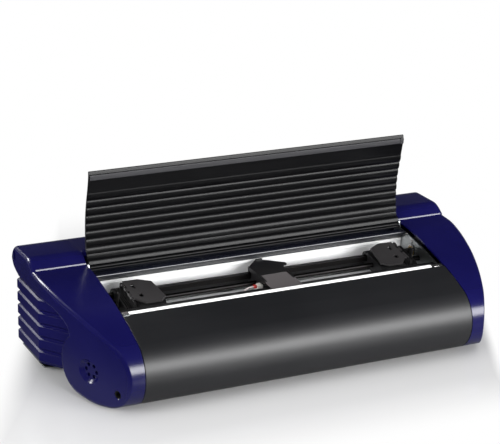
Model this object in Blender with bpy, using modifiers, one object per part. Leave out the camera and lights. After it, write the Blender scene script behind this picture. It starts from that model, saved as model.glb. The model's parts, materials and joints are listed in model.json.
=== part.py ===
"""A desktop braille embosser with its paper lid open.

Metres, +Z up. The front faces -Y, the paper runs front to back, and the origin
is under the middle of the machine, on the plane its rubber feet stand on.
"""

import math

import bmesh
import bpy
from mathutils import Matrix, Vector

# Overall sizes
body_width = 0.5870
body_depth = 0.2754
hump_height = 0.1370
end_cover_width = 0.0710
clearance = 0.0003
cut_overrun = 0.0020

# Moulded and sheet walls
cover_wall = 0.0025
sheet_wall = 0.0018
plate_wall = 0.0015

# Side view of the covers
edge_round = 0.0040
nose_start_degrees = 113.0
nose_end_degrees = 270.0
heel_start_degrees = 55.0
heel_end_degrees = -90.0
nose_steps = 12
heel_steps = 10
# (share of body_depth, share of hump_height), from the hump's foot to the nose
slope_line_shares = (
    (0.1997, 0.9120), (0.1089, 0.8978), (0.0436, 0.8774), (-0.0254, 0.8504),
    (-0.0835, 0.8234), (-0.1398, 0.7978), (-0.1961, 0.7679), (-0.2542, 0.7336),
    (-0.3304, 0.6847), (-0.3740, 0.6490),
)
# The hump over the rear edge, from its underside up and forward to its foot
hump_line_shares = (
    (0.4408, 0.7490), (0.4702, 0.7766), (0.4917, 0.8241), (0.5000, 0.8672),
    (0.4956, 0.9022), (0.4757, 0.9650), (0.4502, 0.9950), (0.4250, 1.0000),
    (0.2869, 1.0000), (0.2580, 0.9880), (0.2330, 0.9640), (0.2110, 0.9320),
)
# The side panel's lower edge, from the heel's top back to the hump's underside
panel_edge_shares = (
    (-0.1216, 0.5511), (-0.1184, 0.5825), (-0.1024, 0.6212), (-0.0686, 0.6577),
    (-0.0131, 0.6949), (0.0625, 0.7117), (0.1180, 0.7210), (0.3995, 0.7215),
)

# Plan view of the end covers: straight at the rear, bowed in to the front
taper_slope_share = 0.155
taper_bow_share = 0.130
taper_steps = 9

# Ribbed rear cover
rib_count = 5
rib_groove_depth = 0.0030
rib_groove_height = 0.0018
rib_lip = 0.0022
rear_corner_round = 0.0060
rear_flank_slope = 0.71

# Base tray, feet and side plates
foot_height = 0.0062
foot_radius = 0.0100
foot_draft = 0.0012
foot_inset = 0.0325
tray_flange_height = 0.0200
tray_flange_length = 0.0600
plate_drop = 0.0075
plate_front_cut = 0.0035
plate_nose_stop_degrees = 20.0
ear_half = 0.0065
ear_height = 0.0050

# Lid
lid_gap = 0.0004
lid_height = 0.1260
lid_wall = 0.0030
lid_barrel_radius = 0.0034
lid_rib_count = 8
lid_rib_depth = 0.0013
lid_pin_radius = 0.0018
lid_pin_depth = 0.0100
lid_pin_clearance = 0.0002
# (share of lid_height forward or back of the hinge, share of lid_height up)
lid_curve_shares = (
    (0.0050, 0.0300), (0.0300, 0.0950), (0.0520, 0.1700), (0.0640, 0.2650),
    (0.0650, 0.3700), (0.0550, 0.5100), (0.0330, 0.6300), (0.0060, 0.7350),
    (-0.0150, 0.8100), (-0.0330, 0.8900), (-0.0420, 0.9500), (-0.0430, 1.0000),
)
lid_ribs_from_share = 0.098
lid_ribs_to_share = 0.767
lid_grip_share = 0.906
lid_root_shares = (0.0, 0.04)
# Shares of the barrel's radius at the neck's front and rear, and of the lid's height
lid_neck_front_share = 0.30
lid_neck_rear_share = 0.85
lid_neck_height_share = 0.06

# Paper chute, plates and tear bar
slot_inset = 0.0125
tear_bar_depth = 0.0066
tear_bar_rise = 0.0022
tear_bar_wall = 0.0014
tear_bar_leg = 0.0080
bracket_reach = 0.0095
catch_reach = 0.0190
bracket_height = 0.0085
bracket_depth = 0.0100

# Tractor shafts
drive_width = 0.0070
drive_left_out = 0.0037
drive_right_out = 0.0110
tractor_slope = 0.200
tractor_gap = 0.0040
guide_radius = 0.0030
bearing_radius = 0.0080
bearing_bore = 0.0053
bearing_flange_radius = 0.0095
bearing_flange = 0.0012

# Tractors, measured outwards from the middle of each door
tractor_inset = 0.0525
door_width = 0.0400
door_wall = 0.0024
door_rear = 0.0065
door_nose = 0.0080
door_lift = 0.0124
door_hinge_radius = 0.0019
door_hinge_out = 0.0026
door_hinge_pin = 0.0009
door_knuckle_rear = 0.0000
door_lug = 0.0030
door_lug_half = 0.0016
door_corner = 0.0080
slot_length = 0.0065
slot_shares = (0.25, 0.75)
slot_width = 0.0028
belt_centre = 0.0100
belt_width = 0.0100
belt_radius = 0.0092
belt_wall = 0.0012
pin_radius = 0.0011
pin_height = 0.0016
pin_tip_share = 0.60
pin_pitch = 0.0127
frame_radius = 0.0090
frame_outer = 0.0140
web_gap = 0.0008
web_share = 0.70
lever_wall = 0.0028
lever_hub = 0.0062
lever_length = 0.0180
lever_width = 0.0050

# Paper rail under the tractors and the middle support
paper_rail_depth = 0.0150
paper_rail_height = 0.0100
support_x = 0.0030
support_half = 0.0210
support_wall = 0.0018
support_lift = 0.0100
support_hub_half = 0.0090
support_hub_rear = 0.0072
# The black saddle: (share of body_depth along Y, share of support_fall)
saddle_shares = ((0.132, 0.00), (0.110, 0.90), (0.070, 1.00), (0.000, 0.60))
support_fall = 0.0040

# Feed drive in the right end cover
feed_module = 0.0010
drive_teeth = 34
pinion_teeth = 12
tooth_tip_share = 0.85
tooth_root_share = 1.15
tooth_shares = (-0.27, -0.12, 0.12, 0.27)
gear_out = 0.0060
gear_width = 0.0045
motor_size = 0.0350
motor_depth = 0.0250
motor_out = 0.0120
motor_shaft_radius = 0.0020
standoff_radius = 0.0022

# Embossing carriage under the front cover
rod_radius = 0.0030
carriage_half = 0.0250
carriage_depth = 0.0220
carriage_inset = 0.0665
head_half = 0.0140
head_depth = 0.0035
emboss_pin_radius = 0.0009
emboss_pin_length = 0.0020
emboss_pin_rows = 4
anvil_depth = 0.0080
pulley_radius = 0.0075
pulley_width = 0.0060
pulley_inset = 0.0205
emboss_belt_wall = 0.0012
clamp_half = 0.0060
clamp_height = 0.0045
idler_tab_wall = 0.0020
carriage_motor_size = 0.0320
carriage_motor_depth = 0.0240

# Electronics
board_inset = 0.0725
board_z = 0.0130
board_wall = 0.0016
board_chip = 0.0180
board_chip_height = 0.0024
supply_width = 0.0500
supply_depth = 0.0660
supply_height = 0.0420
supply_inset = 0.0095
supply_gap = 0.0102

# Connector plate in the rear wall
io_inset = 0.0175
io_length = 0.1300
inlet_width = 0.0270
inlet_height = 0.0190
inlet_along = 0.0200
switch_width = 0.0120
switch_height = 0.0180
switch_along = 0.0550
switch_tilt_degrees = 8.0
usb_width = 0.0120
usb_height = 0.0110
usb_along = 0.0770
port_width = 0.0390
port_height = 0.0110
port_along = 0.1070
socket_depth = 0.0080

# Sound cup, ear socket and keys
cup_radius = 0.0145
cup_depth = 0.0045
cup_floor_share = 0.68
cup_hole_ring = 0.0089
cup_hole_radius = 0.0025
cup_hole_count = 6
ear_radius = 0.0047
ear_bore = 0.0018
ear_length = 0.0120
vent_width = 0.0050
vent_height = 0.0120
key_count = 4
key_radius = 0.0050
key_length = 0.0062
key_proud = 0.0022
key_top_share = 0.90
key_post_share = 1.50
key_pitch = 0.0150
key_travel = 0.0020
key_post_radius = 0.0015

# Paper sensor beside the middle support
sensor_x = -0.0240
sensor_length = 0.0100
sensor_width = 0.0070
lead_radius = 0.0009
lead_start_run = 0.0140
lead_floor_x = -0.0720
lead_hole_inset = 0.0220
lead_hole_radius = 0.0026
lead_bend = 0.0030
lead_steps = 6

# Places in the side view, as (share of body_depth, share of hump_height)
heel_shares = (-0.2052, 0.3102)
plate_rear_shares = (0.4067, 0.7883)
hinge_shares = (0.1979, 0.8796)
rail_nose_shares = (0.1198, 0.8613)
rail_low_shares = (0.1489, 0.7920)
chute_shares = (0.1561, 0.7518)
front_ledge_shares = (-0.1979, 0.7168)
front_ledge_rear_shares = (-0.1307, 0.6934)
paper_floor_shares = (0.0817, 0.5460)
tear_bar_shares = (-0.2426, 0.7372)
drive_shares = (0.0545, 0.6971)
paper_rail_shares = (0.1126, 0.6204)
tongue_front_shares = (-0.2033, 0.7358)
pulley_shares = (-0.4430, 0.3431)
cup_shares = (-0.2734, 0.3007)
ear_shares = (-0.4103, 0.1788)
vent_shares = (0.4412, 0.9088)
key_first_shares = (-0.3631, 0.4380)
sensor_shares = (-0.0545, 0.7190)
# Places along the depth, as shares of body_depth
rear_wall_depth_shares = (-0.1525, 0.1224, 0.4383)
foot_depth_shares = (-0.2251, 0.3449)
tray_depth_shares = (-0.2832, 0.0073)
board_depth_shares = (-0.1997, 0.1089)
lead_depth_shares = (-0.0944, -0.1017)
carriage_depth_shares = (-0.3631, -0.2832, -0.3631)
taper_start_share = 0.1271
hump_front_share = 0.2469
rail_back_share = 0.1725
cover_lip_share = -0.3413
tongue_rear_share = -0.0163
# Heights, as shares of hump_height
nose_shares = (0.3467, 0.2920)
rib_shares = (0.0949, 0.7153)
chute_slot_shares = (0.2190, 0.3358)
rod_height_shares = (0.1752, 0.5255)
carriage_height_shares = (0.1241, 0.5693)
head_height_shares = (0.2190, 0.4672)
anvil_height_shares = (0.2044, 0.5402)
io_height_shares = (0.3942, 0.6423)
heel_radius_share = 0.2847
sensor_lead_share = 0.6861


def side_place(shares):
    return shares[0] * body_depth, shares[1] * hump_height


def each_of(shares, size):
    return [share * size for share in shares]


half_width = body_width / 2
seam_x = half_width - end_cover_width
plate_outer_x = seam_x - clearance
plate_inner_x = plate_outer_x - sheet_wall
lid_half = plate_inner_x - lid_gap
slot_half = seam_x - slot_inset
foot_x = seam_x - foot_inset
tear_bar_left_x = bracket_reach - seam_x
tear_bar_right_x = seam_x - catch_reach
drive_left_x = -seam_x - drive_left_out
drive_right_x = seam_x + drive_right_out
tractor_x = seam_x - tractor_inset
gear_x = seam_x + gear_out
motor_x = seam_x + motor_out
carriage_rest_x = carriage_inset - seam_x
pulley_x = seam_x - pulley_inset
board_half = seam_x - board_inset
supply_x = supply_inset - half_width
io_left_x = io_inset - seam_x
io_right_x = io_left_x + io_length
inlet_x = io_left_x + inlet_along
switch_x = io_left_x + switch_along
usb_x = io_left_x + usb_along
port_x = io_left_x + port_along
lead_hole_x = lead_hole_inset - board_half
heel_y, heel_height = side_place(heel_shares)
plate_rear_y, plate_tail_z = side_place(plate_rear_shares)
hinge_y, hinge_z = side_place(hinge_shares)
rail_nose_y, rail_nose_z = side_place(rail_nose_shares)
rail_low_y, rail_low_z = side_place(rail_low_shares)
chute_y, chute_top_z = side_place(chute_shares)
front_ledge_y, front_ledge_z = side_place(front_ledge_shares)
front_ledge_rear_y, front_ledge_rear_z = side_place(front_ledge_rear_shares)
paper_floor_rear_y, paper_floor_z = side_place(paper_floor_shares)
tear_bar_y, tear_bar_z = side_place(tear_bar_shares)
drive_y, drive_z = side_place(drive_shares)
paper_rail_y, paper_rail_z = side_place(paper_rail_shares)
tongue_front_y, tongue_front_z = side_place(tongue_front_shares)
pulley_y, pulley_z = side_place(pulley_shares)
cup_y, cup_z = side_place(cup_shares)
ear_y, ear_z = side_place(ear_shares)
vent_y, vent_z = side_place(vent_shares)
key_first_y, key_z = side_place(key_first_shares)
sensor_y, sensor_top_z = side_place(sensor_shares)
rear_front_y, rear_corner_y, rear_y = each_of(rear_wall_depth_shares, body_depth)
foot_front_y, foot_rear_y = each_of(foot_depth_shares, body_depth)
tray_front_y, tray_step_y = each_of(tray_depth_shares, body_depth)
board_front_y, board_rear_y = each_of(board_depth_shares, body_depth)
lead_floor_y, lead_hole_y = each_of(lead_depth_shares, body_depth)
rod_y, anvil_y, carriage_motor_y = each_of(carriage_depth_shares, body_depth)
taper_start_y = taper_start_share * body_depth
hump_front_y = hump_front_share * body_depth
rail_back_y = rail_back_share * body_depth
cover_lip_y = cover_lip_share * body_depth
tongue_rear_y = tongue_rear_share * body_depth
nose_height, nose_radius = each_of(nose_shares, hump_height)
rib_bottom, rib_top = each_of(rib_shares, hump_height)
chute_slot_low, chute_slot_high = each_of(chute_slot_shares, hump_height)
rod_low_z, rod_high_z = each_of(rod_height_shares, hump_height)
carriage_low_z, carriage_high_z = each_of(carriage_height_shares, hump_height)
head_low_z, head_high_z = each_of(head_height_shares, hump_height)
anvil_low_z, anvil_high_z = each_of(anvil_height_shares, hump_height)
io_low_z, io_high_z = each_of(io_height_shares, hump_height)
heel_radius = heel_radius_share * hump_height
sensor_lead_z = sensor_lead_share * hump_height
front_y = -body_depth / 2
nose_y = front_y + nose_radius
supply_y = rear_y - cover_wall - supply_gap - supply_depth
idler_back = drive_y - front_ledge_rear_y - frame_radius - tractor_gap
guide_back = idler_back / 2
door_front = idler_back + door_nose
door_knuckle_front = idler_back + door_lug
tray_z = foot_height + clearance
tray_top = tray_z + plate_wall
lid_sides = 16
round_sides = 20
small_sides = 12
pin_sides = 8
stadium_steps = 6

materials = {
    "cover_blue": ((0.016, 0.014, 0.110), 0.22, 0.0),
    "front_charcoal": ((0.022, 0.023, 0.028), 0.42, 0.2),
    "lid_black": ((0.012, 0.012, 0.015), 0.30, 0.1),
    "paper_white": ((0.780, 0.790, 0.800), 0.45, 0.0),
    "bare_aluminium": ((0.800, 0.805, 0.815), 0.25, 1.0),
    "zinc_steel": ((0.360, 0.370, 0.380), 0.35, 1.0),
    "shaft_steel": ((0.420, 0.420, 0.430), 0.22, 1.0),
    "black_plastic": ((0.010, 0.010, 0.012), 0.45, 0.0),
    "door_grey": ((0.045, 0.043, 0.046), 0.50, 0.0),
    "rubber": ((0.012, 0.012, 0.012), 0.80, 0.0),
    "brass": ((0.680, 0.500, 0.220), 0.30, 1.0),
    "board_green": ((0.020, 0.120, 0.050), 0.50, 0.0),
    "sensor_red": ((0.150, 0.030, 0.030), 0.50, 0.0),
}


def clear_scene():
    for obj in list(bpy.data.objects):
        bpy.data.objects.remove(obj, do_unlink=True)


def new_collection(name):
    group = bpy.data.collections.new(name)
    bpy.context.scene.collection.children.link(group)
    return group


def make_material(name):
    colour, roughness, metallic = materials[name]
    material = bpy.data.materials.get(name) or bpy.data.materials.new(name)
    material.use_nodes = True
    shader = material.node_tree.nodes["Principled BSDF"]
    shader.inputs["Base Color"].default_value = (*colour, 1.0)
    shader.inputs["Roughness"].default_value = roughness
    shader.inputs["Metallic"].default_value = metallic
    return material


clear_scene()
parts = new_collection("braille_embosser")
cutters = new_collection("cutters")


def add_object(name, bm, material=None, pivot=None):
    """A part from a mesh in world places, or a cutter where no material is given."""
    bmesh.ops.recalc_face_normals(bm, faces=bm.faces)
    mesh = bpy.data.meshes.new(name)
    bm.to_mesh(mesh)
    bm.free()
    obj = bpy.data.objects.new(name, mesh)
    if material:
        mesh.materials.append(make_material(material))
        parts.objects.link(obj)
    else:
        cutters.objects.link(obj)
        obj.hide_render = True
        obj.display_type = "WIRE"
    if pivot is not None:
        mesh.transform(Matrix.Translation(-Vector(pivot)))
        obj.location = pivot
    return obj


def cut(obj, cutter, operation="DIFFERENCE"):
    step = obj.modifiers.new(cutter.name, "BOOLEAN")
    step.operation = operation
    step.solver = "EXACT"
    step.object = cutter


def join_meshes(target, *others):
    """Adds the others' geometry to target, as more bodies of the same mesh."""
    for other in others:
        mesh = bpy.data.meshes.new("joined")
        other.to_mesh(mesh)
        target.from_mesh(mesh)
        bpy.data.meshes.remove(mesh)
        other.free()
    return target


def box(low, high):
    bm = bmesh.new()
    size = Vector(high) - Vector(low)
    middle = (Vector(high) + Vector(low)) / 2
    bmesh.ops.create_cube(bm, size=1.0)
    bmesh.ops.scale(bm, vec=size, verts=bm.verts)
    bmesh.ops.translate(bm, vec=middle, verts=bm.verts)
    return bm


def round_bar(start, end, radius, sides=round_sides, end_radius=None):
    """A cylinder, or a cone where end_radius differs, between two points."""
    bm = bmesh.new()
    along = Vector(end) - Vector(start)
    bmesh.ops.create_cone(
        bm, cap_ends=True, segments=sides, radius1=radius,
        radius2=radius if end_radius is None else end_radius, depth=along.length)
    turn = along.to_track_quat("Z", "Y").to_matrix().to_4x4()
    place = Matrix.Translation((Vector(start) + Vector(end)) / 2)
    bmesh.ops.transform(bm, matrix=place @ turn, verts=bm.verts)
    return bm


def plate(outline, low, high, axis="X"):
    """A flat outline given thickness from low to high along an axis.

    The outline holds (Y, Z) for X, (X, Z) for Y and (X, Y) for Z.
    """
    curve = bpy.data.curves.new("outline", "CURVE")
    curve.dimensions = "2D"
    curve.fill_mode = "BOTH"
    curve.extrude = (high - low) / 2
    spline = curve.splines.new("POLY")
    spline.points.add(len(outline) - 1)
    for point, (across, up) in zip(spline.points, outline):
        point.co = (across, up, 0.0, 1.0)
    spline.use_cyclic_u = True
    holder = bpy.data.objects.new("outline", curve)
    parts.objects.link(holder)
    evaluated = holder.evaluated_get(bpy.context.evaluated_depsgraph_get())
    mesh = bpy.data.meshes.new_from_object(evaluated)
    bm = bmesh.new()
    bm.from_mesh(mesh)
    bpy.data.objects.remove(holder)
    bpy.data.curves.remove(curve)
    bpy.data.meshes.remove(mesh)
    bmesh.ops.remove_doubles(bm, verts=bm.verts, dist=clearance / 30)
    bmesh.ops.dissolve_limit(bm, angle_limit=0.001, verts=bm.verts, edges=bm.edges)
    turns = {
        "X": Matrix(((0, 0, 1), (1, 0, 0), (0, 1, 0))),
        "Y": Matrix(((1, 0, 0), (0, 0, 1), (0, 1, 0))),
        "Z": Matrix.Identity(3),
    }
    middle = {"X": (1, 0, 0), "Y": (0, 1, 0), "Z": (0, 0, 1)}[axis]
    shift = Vector(middle) * ((high + low) / 2)
    bmesh.ops.transform(bm, matrix=turns[axis].to_4x4(), verts=bm.verts)
    bmesh.ops.translate(bm, vec=shift, verts=bm.verts)
    bmesh.ops.recalc_face_normals(bm, faces=bm.faces)
    return bm


def bezier(route, steps):
    """Points along a cubic curve from its two ends and two handles."""
    points = []
    for step in range(steps + 1):
        t = step / steps
        weights = ((1 - t) ** 3, 3 * t * (1 - t) ** 2, 3 * t * t * (1 - t), t ** 3)
        points.append(tuple(sum(weight * place[axis] for weight, place in zip(weights, route))
                            for axis in range(3)))
    return points


def add_tube(name, points, radius, material):
    """A round lead along a row of points, with closed ends."""
    curve = bpy.data.curves.new(name, "CURVE")
    curve.dimensions = "3D"
    curve.bevel_depth = radius
    curve.bevel_resolution = 2
    curve.use_fill_caps = True
    spline = curve.splines.new("POLY")
    spline.points.add(len(points) - 1)
    for point, place in zip(spline.points, points):
        point.co = (*place, 1.0)
    tube = bpy.data.objects.new(name, curve)
    curve.materials.append(make_material(material))
    parts.objects.link(tube)
    return tube


def mirrored(bm):
    """The same mesh on the other side of the machine's middle plane."""
    bmesh.ops.scale(bm, vec=(-1, 1, 1), verts=bm.verts)
    bmesh.ops.reverse_faces(bm, faces=bm.faces)
    return bm


def sided(bm, side):
    return mirrored(bm) if side < 0 else bm


def arc(centre, radius, start_degrees, end_degrees, steps):
    points = []
    for step in range(steps + 1):
        angle = math.radians(start_degrees + (end_degrees - start_degrees) * step / steps)
        points.append((centre[0] + radius * math.cos(angle),
                       centre[1] + radius * math.sin(angle)))
    return points


def offset_line(points, distance):
    """An open line of points moved sideways, to the right of its direction."""
    moved = []
    for index, point in enumerate(points):
        before = Vector(points[max(index - 1, 0)])
        after = Vector(points[min(index + 1, len(points) - 1)])
        here = Vector(point)
        first = (here - before) if index else (after - here)
        second = (after - here) if index < len(points) - 1 else first
        first.normalize()
        second.normalize()
        bend = first + second
        bend.normalize()
        right = Vector((bend.y, -bend.x))
        stretch = max(right.dot(Vector((second.y, -second.x))), 0.5)
        moved.append(tuple(here + right * (distance / stretch)))
    return moved


def scaled(shares, across, up):
    return [(share[0] * across, share[1] * up) for share in shares]


def slope_line():
    """The covers' top line, from the hump's foot forward to the nose."""
    return scaled(slope_line_shares, body_depth, hump_height)


def top_height(y):
    line = slope_line()
    for (rear_point, front_point) in zip(line, line[1:]):
        if front_point[0] <= y <= rear_point[0]:
            share = (y - front_point[0]) / (rear_point[0] - front_point[0])
            return front_point[1] + share * (rear_point[1] - front_point[1])
    return line[0][1] if y > line[0][0] else line[-1][1]


def nose_arc(radius=nose_radius, start=nose_start_degrees):
    return arc((nose_y, nose_height), radius, start, nose_end_degrees, nose_steps)


def taper(y):
    """How far the end covers' sides have drawn in at this depth."""
    run = max(taper_start_y - y, 0.0)
    full = taper_start_y - front_y
    return run * (taper_slope_share + taper_bow_share * run / full)


def side_x(y):
    return half_width - taper(y)


def side_normal(y):
    """The outward direction of the right side panel at this depth."""
    step = clearance
    slope = (taper(y - step) - taper(y + step)) / (2 * step)
    return Vector((1.0, -slope, 0.0)).normalized()


def cap_outline():
    heel = arc((heel_y, heel_height), heel_radius, heel_start_degrees, heel_end_degrees,
               heel_steps)
    panel_edge = scaled(panel_edge_shares, body_depth, hump_height)
    hump = scaled(hump_line_shares, body_depth, hump_height)
    nose = list(reversed(nose_arc()))
    return nose[::-1] + heel[::-1] + panel_edge + hump + slope_line()


def end_cover(side, name):
    """A moulded cap: its outer side bows in, and its inner side is open."""
    bm = plate(cap_outline(), seam_x, half_width)
    rim = [edge for edge in bm.edges
           if all(vert.co.x > half_width - clearance for vert in edge.verts)]
    bmesh.ops.bevel(bm, geom=rim, offset=edge_round, offset_type="OFFSET", segments=2,
                    profile=0.5, affect="EDGES", material=-1)
    for step in range(1, taper_steps):
        y = taper_start_y + (front_y - taper_start_y) * step / taper_steps
        bmesh.ops.bisect_plane(bm, geom=bm.verts[:] + bm.edges[:] + bm.faces[:],
                               plane_co=(0, y, 0), plane_no=(0, 1, 0))
    open_faces = []
    for face in bm.faces:
        middle = face.calc_center_median()
        across = abs(face.normal.x) < 0.01
        under_top = middle.y > nose_y and middle.z < top_height(middle.y) - cover_wall * 3
        if middle.y > slope_line()[0][0]:
            under_top = middle.z < panel_edge_shares[-1][1] * hump_height + clearance
        floor = face.normal.z < -0.9 and middle.y < heel_y
        if middle.x < seam_x + clearance or (across and under_top and not floor):
            open_faces.append(face)
    bmesh.ops.delete(bm, geom=open_faces, context="FACES")
    for vert in bm.verts:
        reach = (vert.co.x - seam_x) / (half_width - seam_x)
        vert.co.x -= taper(vert.co.y) * max(reach, 0.0)
    bm = sided(bm, side)
    cover = add_object(name, bm, "cover_blue")
    shell = cover.modifiers.new("wall", "SOLIDIFY")
    shell.thickness = cover_wall
    shell.offset = -1.0
    shell.use_even_offset = True
    return cover


def straight_cutter(name, side, y, z, radius, depth, sides=round_sides):
    """A round cutter square to a side panel, through its wall."""
    out = side_normal(y)
    surface = Vector((side_x(y), y, z))
    bm = round_bar(surface - out * depth, surface + out * depth, radius, sides)
    return add_object(name, sided(bm, side))


def add_sound_cup(cover):
    """A round sunk cup with a ring of holes in its floor, in the cover's side."""
    out = side_normal(cup_y)
    surface = Vector((side_x(cup_y), cup_y, cup_z))
    floor_radius = cup_radius * cup_floor_share
    cup = round_bar(surface - out * (cup_depth + cover_wall),
                    surface - out * (cover_wall / 2), floor_radius + cover_wall,
                    round_sides, cup_radius + cover_wall)
    cut(cover, add_object("sound_cup", sided(cup, -1)), "UNION")
    hollow = round_bar(surface - out * cup_depth, surface + out * cut_overrun,
                       floor_radius, round_sides, cup_radius)
    cut(cover, add_object("sound_cup_hollow", sided(hollow, -1)))
    up = Vector((0, 0, 1))
    along = up.cross(out)
    for index in range(cup_hole_count):
        angle = 2 * math.pi * index / cup_hole_count
        place = surface + (along * math.cos(angle) + up * math.sin(angle)) * cup_hole_ring
        drill = round_bar(place - out * cup_depth * 2, place, cup_hole_radius, small_sides)
        cut(cover, add_object(f"sound_hole_{index}", sided(drill, -1)))


def build_end_covers():
    left = end_cover(-1, "left_end_cover")
    right = end_cover(1, "right_end_cover")
    add_sound_cup(left)
    cut(left, straight_cutter("ear_hole", -1, ear_y, ear_z, ear_radius + clearance,
                              cup_depth * 2))
    for side, cover in ((-1, left), (1, right)):
        slot = box((half_width - cover_wall * 2, vent_y - vent_width / 2,
                    vent_z - vent_height / 2),
                   (half_width + cut_overrun, vent_y + vent_width / 2,
                    vent_z + vent_height / 2))
        cut(cover, add_object(f"vent_{side}", sided(slot, side)))
    for index in range(key_count):
        y = key_first_y + index * key_pitch
        cut(right, straight_cutter(f"key_hole_{index}", 1, y, key_z,
                                   key_radius + clearance, cup_depth * 2))


def sweep_outline(line, wall):
    """A closed outline of a line and the same line one wall further in."""
    return line + offset_line(line, wall)[::-1]


def build_front_cover():
    lean = top_height(tear_bar_y) - top_height(tear_bar_y - cover_wall)
    start_y = tear_bar_y - clearance - lean
    slope = [point for point in slope_line() if point[0] < start_y - clearance]
    start = (start_y, top_height(start_y))
    lip = [(cover_lip_y, nose_height - nose_radius)]
    line = [start] + slope + nose_arc() + lip
    outline = sweep_outline(line, -cover_wall)
    add_object("front_cover", plate(outline, -plate_outer_x, plate_outer_x),
               "front_charcoal")


def rear_ring(inset, z):
    """One level of the U-shaped ribbed wall, its outside drawn in by inset."""
    def side_points(out):
        reach = half_width - out
        flank = reach - rear_flank_slope * (rear_corner_y - rear_front_y)
        corner = rear_corner_round
        rear = rear_y - out
        return [(flank, rear_front_y), (reach, rear_corner_y), (reach, rear - corner),
                (reach - corner, rear)]

    outer = side_points(inset)
    inner = side_points(rib_groove_depth + cover_wall)
    ring = outer + [(-x, y) for x, y in outer[::-1]]
    ring += [(-x, y) for x, y in inner] + inner[::-1]
    return [Vector((x, y, z)) for x, y in ring]


def loft(rings):
    """Walls between rings of equal length, closed by a strip at each end."""
    bm = bmesh.new()
    loops = [[bm.verts.new(point) for point in ring] for ring in rings]
    count = len(loops[0])
    for lower, upper in zip(loops, loops[1:]):
        for index in range(count):
            following = (index + 1) % count
            bm.faces.new((lower[index], lower[following], upper[following], upper[index]))
    for loop in (loops[0], loops[-1]):
        for index in range(count // 2 - 1):
            bm.faces.new((loop[index], loop[index + 1], loop[count - 2 - index],
                          loop[count - 1 - index]))
    return bm


def build_rear_covers():
    pitch = (rib_top - rib_bottom) / rib_count
    levels = []
    for index in range(rib_count):
        low = rib_bottom + index * pitch
        levels += [(rib_groove_depth, low), (rib_groove_depth, low + rib_groove_height),
                   (0.0, low + rib_groove_height + rib_lip), (0.0, low + pitch - rib_lip)]
    levels.append((rib_groove_depth, rib_top))
    rings = [rear_ring(inset, z) for inset, z in levels]
    rear = add_object("rear_cover", loft(rings), "cover_blue")
    window = box((io_left_x, rear_y - rib_groove_depth - cover_wall * 3, io_low_z),
                 (io_right_x, rear_y + cut_overrun, io_high_z))
    slot = box((-slot_half, rear_y - rib_groove_depth - cover_wall * 3, chute_slot_low),
               (slot_half, rear_y + cut_overrun, chute_slot_high))
    cut(rear, add_object("io_window", window))
    cut(rear, add_object("paper_slot", slot))

    hump = scaled(hump_line_shares, body_depth, hump_height)
    lip = [(hump_front_y, hump_height - cover_wall * 2),
           (hump_front_y, hump_height - cover_wall * 4)]
    line = [(hump[0][0], rib_top + clearance)] + hump[:-3] + lip
    outline = line + offset_line(line, -cover_wall)[::-1]
    add_object("rear_top_cover", plate(outline, -plate_outer_x, plate_outer_x), "cover_blue")


def build_base():
    wide = half_width - rib_groove_depth - cover_wall - clearance
    rear = rear_y - rib_groove_depth - cover_wall - clearance
    outline = [(-plate_outer_x, tray_front_y), (plate_outer_x, tray_front_y),
               (plate_outer_x, tray_step_y), (wide, rear_corner_y), (wide, rear),
               (-wide, rear), (-wide, rear_corner_y), (-plate_outer_x, tray_step_y)]
    tray = add_object("base_tray", plate(outline, tray_z, tray_top, "Z"), "zinc_steel")
    overlap = plate_wall / 2
    for side in (-1, 1):
        low_y = rear - rear_corner_round - tray_flange_length
        flange = box((wide - plate_wall, low_y, tray_top - overlap),
                     (wide, low_y + tray_flange_length, tray_top + tray_flange_height))
        cut(tray, add_object(f"tray_side_flange_{side}", sided(flange, side)), "UNION")
    rear_flange = box((-slot_half, rear - plate_wall, tray_top - overlap),
                      (slot_half, rear, chute_slot_low - cover_wall))
    cut(tray, add_object("tray_rear_flange", rear_flange), "UNION")

    inset = board_chip / 3
    for column in (-1, 1):
        for row, y in (("front", board_front_y + inset), ("rear", board_rear_y - inset)):
            x = column * (board_half - inset)
            post = round_bar((x, y, tray_top - overlap), (x, y, board_z - clearance),
                             standoff_radius, small_sides)
            cut(tray, add_object(f"board_post_{row}_{column}", post), "UNION")

    for end, x in (("left", -foot_x), ("right", foot_x)):
        for row, y in (("front", foot_front_y), ("rear", foot_rear_y)):
            foot = round_bar((x, y, 0), (x, y, foot_height), foot_radius - foot_draft,
                             round_sides, foot_radius)
            add_object(f"{row}_{end}_foot", foot, "rubber")


def side_plate_outline():
    """The steel side plate, held inside the covers and under the lid."""
    inner = nose_radius - plate_front_cut
    nose = arc((nose_y, nose_height), inner, nose_start_degrees, nose_end_degrees - plate_nose_stop_degrees,
               nose_steps)
    tray_level = tray_top + clearance
    slope = [(y, z - plate_drop) for y, z in slope_line()[:-1]]
    slope = [point for point in slope if point[0] < hinge_y - ear_half]
    ear_front = hinge_y - ear_half
    ear = [(plate_rear_y, tray_level), (plate_rear_y, plate_tail_z),
           (hinge_y + ear_half * 2, plate_tail_z), (hinge_y + ear_half, hinge_z),
           (hinge_y + ear_half / 2, hinge_z + ear_height),
           (hinge_y - ear_half / 2, hinge_z + ear_height),
           (ear_front, top_height(ear_front) - plate_drop)]
    return ear + slope + nose + [(tray_front_y, tray_level)]


def pinion_height():
    return drive_z - (drive_teeth + pinion_teeth) * feed_module / 2 - clearance


def motor_post_places():
    """(Y, Z) of the four posts that carry the feed motor off the side plate."""
    reach = motor_size / 2 - standoff_radius * 1.5
    return [(drive_y + column * reach, pinion_height() + row)
            for column in (-1, 1) for row in (-reach, reach / 4)]


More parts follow.
